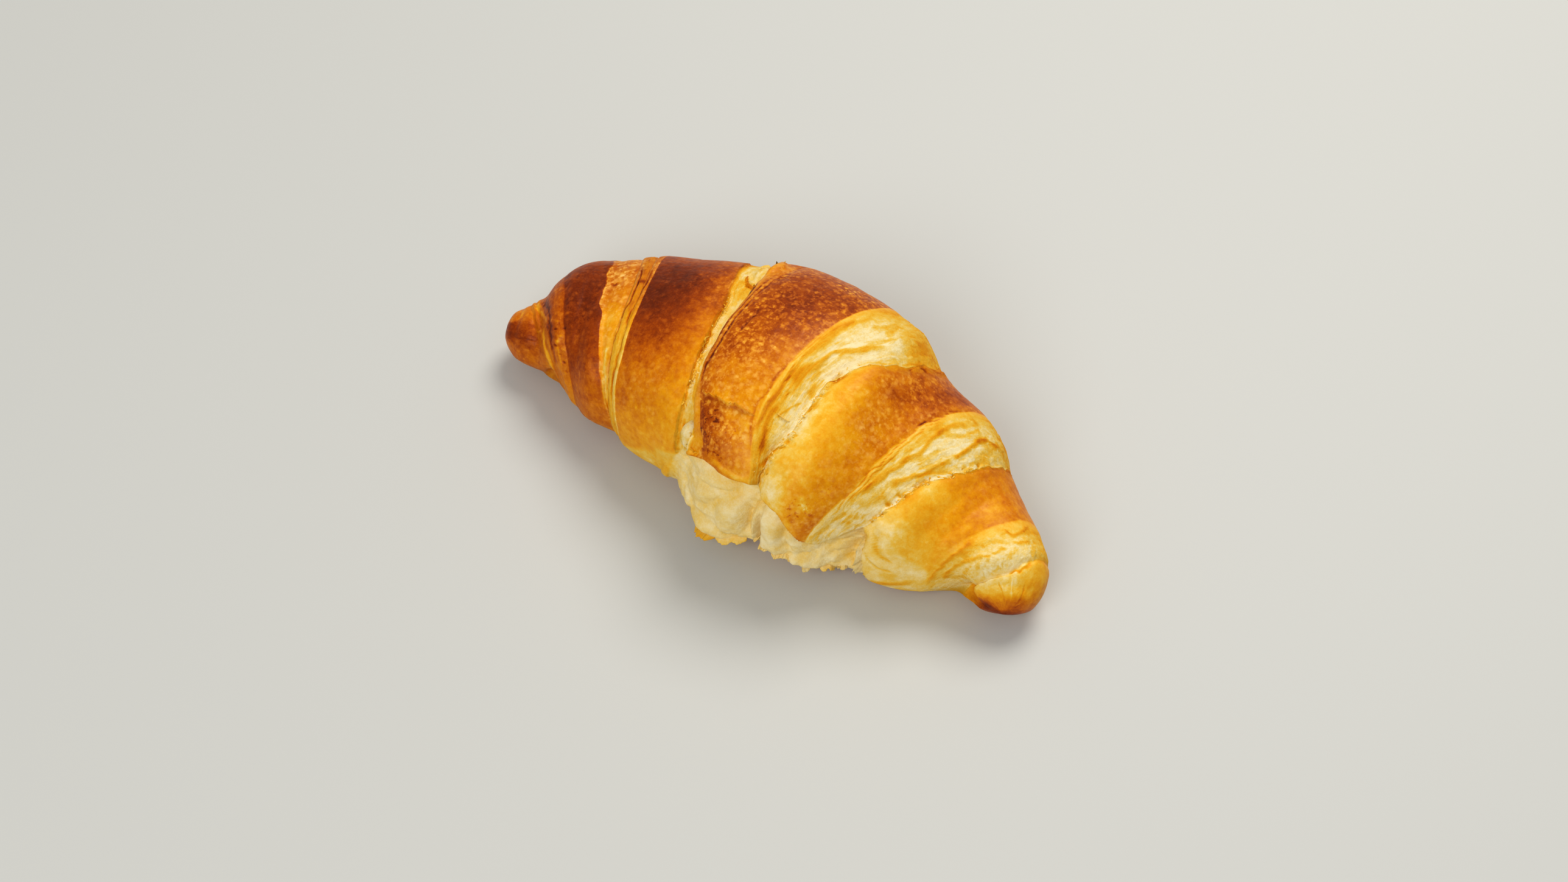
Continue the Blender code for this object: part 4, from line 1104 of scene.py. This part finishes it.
class Tree:
    """Short calls for adding nodes to a material."""

    def __init__(self, name):
        self.material = bpy.data.materials.new(name)
        self.material.use_nodes = True
        self.nodes = self.material.node_tree.nodes
        self.links = self.material.node_tree.links
        self.shader = self.nodes["Principled BSDF"]

    def add(self, kind, settings=(), **inputs):
        node = self.nodes.new(kind)
        for name, value in dict(settings).items():
            setattr(node, name, value)
        for name, value in inputs.items():
            self.set(node, name.replace("_", " "), value)
        return node

    def set(self, node, socket, value):
        target = node.inputs[int(socket) if str(socket).isdigit() else socket]
        if isinstance(value, bpy.types.NodeSocket):
            self.links.new(value, target)
        else:
            target.default_value = value

    def attribute(self, name):
        return self.add("ShaderNodeAttribute", {"attribute_name": name}).outputs["Fac"]

    def math(self, operation, first, second=0.0, third=0.0):
        node = self.add("ShaderNodeMath", {"operation": operation})
        for k, value in enumerate((first, second, third)):
            self.set(node, k, value)
        return node.outputs[0]

    def times(self, first, second):
        return self.math("MULTIPLY", first, second)

    def remap(self, value, low, high, new_low, new_high):
        node = self.add("ShaderNodeMapRange", {"interpolation_type": "SMOOTHSTEP"})
        names = ("Value", "From Min", "From Max", "To Min", "To Max")
        for name, number in zip(names, (value, low, high, new_low, new_high)):
            self.set(node, name, number)
        return node.outputs[0]

    def noise(self, where, per_metre, detail=2.0, roughness=0.5):
        numbers = {"Scale": per_metre, "Detail": detail, "Roughness": roughness}
        return self.add("ShaderNodeTexNoise", Vector=where, **numbers).outputs["Fac"]

    def bend(self, where, per_metre, reach):
        """The place moved about by noise, by up to half this reach in metres."""
        noise = self.add("ShaderNodeTexNoise", Vector=where, Scale=per_metre, Detail=2.0).outputs["Color"]
        centred = self.add("ShaderNodeVectorMath", {"operation": "SUBTRACT"})
        self.set(centred, 0, noise)
        centred.inputs[1].default_value = (0.5, 0.5, 0.5)
        scaled = self.add("ShaderNodeVectorMath", {"operation": "SCALE"}, Scale=reach)
        self.set(scaled, 0, centred.outputs[0])
        moved = self.add("ShaderNodeVectorMath", {"operation": "ADD"})
        self.set(moved, 0, where)
        self.set(moved, 1, scaled.outputs[0])
        return moved.outputs[0]

    def flecks(self, where, per_metre, share):
        """Soft round spots, one at most in each cell, of uneven strength."""
        cells = self.add("ShaderNodeTexVoronoi", Vector=where, Scale=per_metre)
        spot = self.remap(cells.outputs["Distance"], 0.05, 0.5, 1, 0)
        luck = self.add("ShaderNodeSeparateColor", Color=cells.outputs["Color"]).outputs[0]
        return self.times(spot, self.remap(luck, 0.25, 0.8, 0, share))

    def around_zero(self, value, size):
        """A noise from 0 to 1 as one about zero, with this span."""
        return self.math("MULTIPLY_ADD", value, size, -size / 2)

    def total(self, *values):
        result = values[0]
        for value in values[1:]:
            result = self.math("ADD", result, value)
        return result


def crust_material():
    """Glazed crust and torn layers in one, by the bake and torn of the mesh."""
    tree = Tree("baked_dough")
    place = tree.add("ShaderNodeTexCoord").outputs["Object"]
    bake, torn = tree.attribute("bake"), tree.attribute("torn")
    crust = tree.math("SUBTRACT", 1.0, torn)
    strand = tree.attribute("strand")
    across = tree.attribute("across")
    run = tree.times(tree.attribute("arc"), STRAND_STRETCH)
    strands = tree.add("ShaderNodeCombineXYZ", X=across, Y=run).outputs[0]

    # mottling of the glazed crust: clouds, and pale flecks that show most where it is dark
    cloud = tree.total(
        tree.around_zero(tree.noise(place, 170, 8, 0.68), 0.36),
        tree.around_zero(tree.noise(place, 620, 5, 0.6), 0.34),
        tree.around_zero(tree.noise(strands, 0.7, 5, 0.6), 0.26),
    )
    bent = tree.bend(place, 900, 0.0011)
    fleck = tree.total(*(tree.flecks(bent, per_metre, share) for per_metre, share in FLECKS))
    islands = tree.total(*(
        tree.remap(tree.noise(bent, per_metre, 4, 0.55), 0.51, 0.63, 0, share)
        for per_metre, share in ISLANDS
    ))
    fleck = tree.times(tree.math("ADD", fleck, islands), tree.attribute("mottle"))
    fleck = tree.times(fleck, crust)
    creamy = tree.times(fleck, tree.remap(bake, 0.2, 0.5, 0.08, 0.26))
    creamy = tree.times(creamy, tree.remap(bake, 0.6, 0.85, 1, 0.25))
    fleck = tree.times(fleck, tree.remap(bake, 0.5, 0.8, 0.07, 0.26))
    cloud = tree.times(cloud, tree.remap(bake, 0.7, 0.95, 1, 0.5))
    glazed = tree.times(tree.math("SUBTRACT", cloud, fleck), crust)
    # the torn layers: golden smears along them, and crumb
    smear = tree.total(
        tree.remap(tree.noise(strands, 0.42, 6, 0.6), 0.5, 0.6, -0.02, 0.13),
        tree.around_zero(tree.noise(strands, 1.3, 5, 0.6), 0.4),
    )
    smear = tree.times(smear, strand)
    crumb = tree.times(tree.around_zero(tree.noise(place, 700, 7, 0.7), 0.34), torn)
    dark = tree.remap(tree.noise(bent, 900, 4, 0.6), 0.54, 0.62, 0, 0.3)
    dark = tree.times(dark, tree.attribute("speck"))
    baked = tree.total(bake, dark, glazed, smear, crumb, tree.around_zero(tree.noise(place, 2600, 3), 0.12))

    ramp = tree.add("ShaderNodeValToRGB", Fac=baked)
    stops = ramp.color_ramp.elements
    for share, colour in CRUST_RAMP[1:-1]:
        stops.new(share)
    for stop, (share, colour) in zip(stops, CRUST_RAMP):
        stop.position, stop.color = share, linear(*colour)
    colour = tree.add("ShaderNodeMix", {"data_type": "RGBA"}, Factor=creamy)
    tree.set(colour, 6, ramp.outputs["Color"])
    tree.set(colour, 7, linear(*CREAM))
    tree.set(tree.shader, "Base Color", colour.outputs[2])

    matte = tree.remap(torn, 0, 1, GLAZED_ROUGHNESS, TORN_ROUGHNESS)
    matte = tree.math("ADD", matte, tree.around_zero(tree.noise(place, 700, 3), 0.3))
    tree.set(tree.shader, "Roughness", matte)
    relief = tree.total(
        tree.times(tree.noise(place, 420, 5, 0.62), 0.8),
        tree.times(tree.times(tree.noise(strands, 1.4, 5, 0.65), strand), 1.0),
        tree.times(tree.times(tree.noise(place, 800, 6, 0.72), torn), 1.6),
    )
    bump = tree.add("ShaderNodeBump", Strength=BUMP_STRENGTH, Distance=BUMP_DEPTH, Height=relief)
    tree.set(tree.shader, "Normal", bump.outputs[0])
    tree.shader.inputs["Specular IOR Level"].default_value = SPECULAR
    return tree.material


def floor_piece():
    mesh = bpy.data.meshes.new("floor")
    corners = [(x * FLOOR_HALF, y * FLOOR_HALF, 0) for x, y in ((-1, -1), (1, -1), (1, 1), (-1, 1))]
    mesh.from_pydata(corners, [], [(0, 1, 2, 3)])
    tree = Tree("floor")
    tree.shader.inputs["Base Color"].default_value = FLOOR_COLOUR
    tree.shader.inputs["Roughness"].default_value = FLOOR_ROUGHNESS
    mesh.materials.append(tree.material)
    floor = bpy.data.objects.new("floor", mesh)
    bpy.context.scene.collection.objects.link(floor)
    return floor


# ---------------------------------------------------------------- light and camera
AIM = Vector((0.00727, -0.01275, 0.024))
AZIMUTH, ELEVATION, DISTANCE = 32.48, 54.014, 0.66632
LENS, SENSOR_WIDTH = 60, 36
WORLD_STRENGTH = 0.34
# Soft round lamps: name, azimuth, elevation, distance and size (m), watts, colour.
LIGHTS = [
    ("key", AZIMUTH + 150, 55, 1.2, 0.7, 8.4, (1.0, 0.97, 0.92)),
    ("fill", AZIMUTH - 30, 42, 1.4, 0.9, 8, (1, 1, 1)),
]


def from_aim(azimuth, elevation, distance):
    """A place at this bearing from the aim point. Azimuth 0 is at -Y, and turns towards +X."""
    turn, rise = math.radians(azimuth), math.radians(elevation)
    level = math.cos(rise)
    return AIM + distance * Vector((math.sin(turn) * level, -math.cos(turn) * level, math.sin(rise)))


def look_at_aim(thing):
    thing.rotation_euler = (AIM - thing.location).to_track_quat("-Z", "Y").to_euler()


def add_camera():
    camera = bpy.data.objects.new("camera", bpy.data.cameras.new("camera"))
    camera.data.lens = LENS
    camera.data.sensor_width = SENSOR_WIDTH
    camera.data.clip_start = 0.01
    camera.location = from_aim(AZIMUTH, ELEVATION, DISTANCE)
    look_at_aim(camera)
    bpy.context.scene.collection.objects.link(camera)
    bpy.context.scene.camera = camera


def add_light(name, azimuth, elevation, distance, size, watts, colour):
    light = bpy.data.lights.new(name, "AREA")
    light.shape = "DISK"
    light.size = size
    light.energy = watts
    light.color = colour
    lamp = bpy.data.objects.new(name, light)
    lamp.location = from_aim(azimuth, elevation, distance)
    look_at_aim(lamp)
    bpy.context.scene.collection.objects.link(lamp)


def light_scene():
    world = bpy.data.worlds.new("studio")
    world.use_nodes = True
    background = world.node_tree.nodes["Background"]
    background.inputs["Color"].default_value = (1, 1, 1, 1)
    background.inputs["Strength"].default_value = WORLD_STRENGTH
    bpy.context.scene.world = world
    for settings in LIGHTS:
        add_light(*settings)
    bpy.context.scene.view_settings.view_transform = "Standard"
    bpy.context.scene.view_settings.look = "Medium High Contrast"


# ---------------------------------------------------------------- the scene
dough = crust_material()
skin = finished_skin()
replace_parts(skin_piece(skin, dough), "croissant")
add_flakes(skin, dough)

floor_piece()
light_scene()
add_camera()
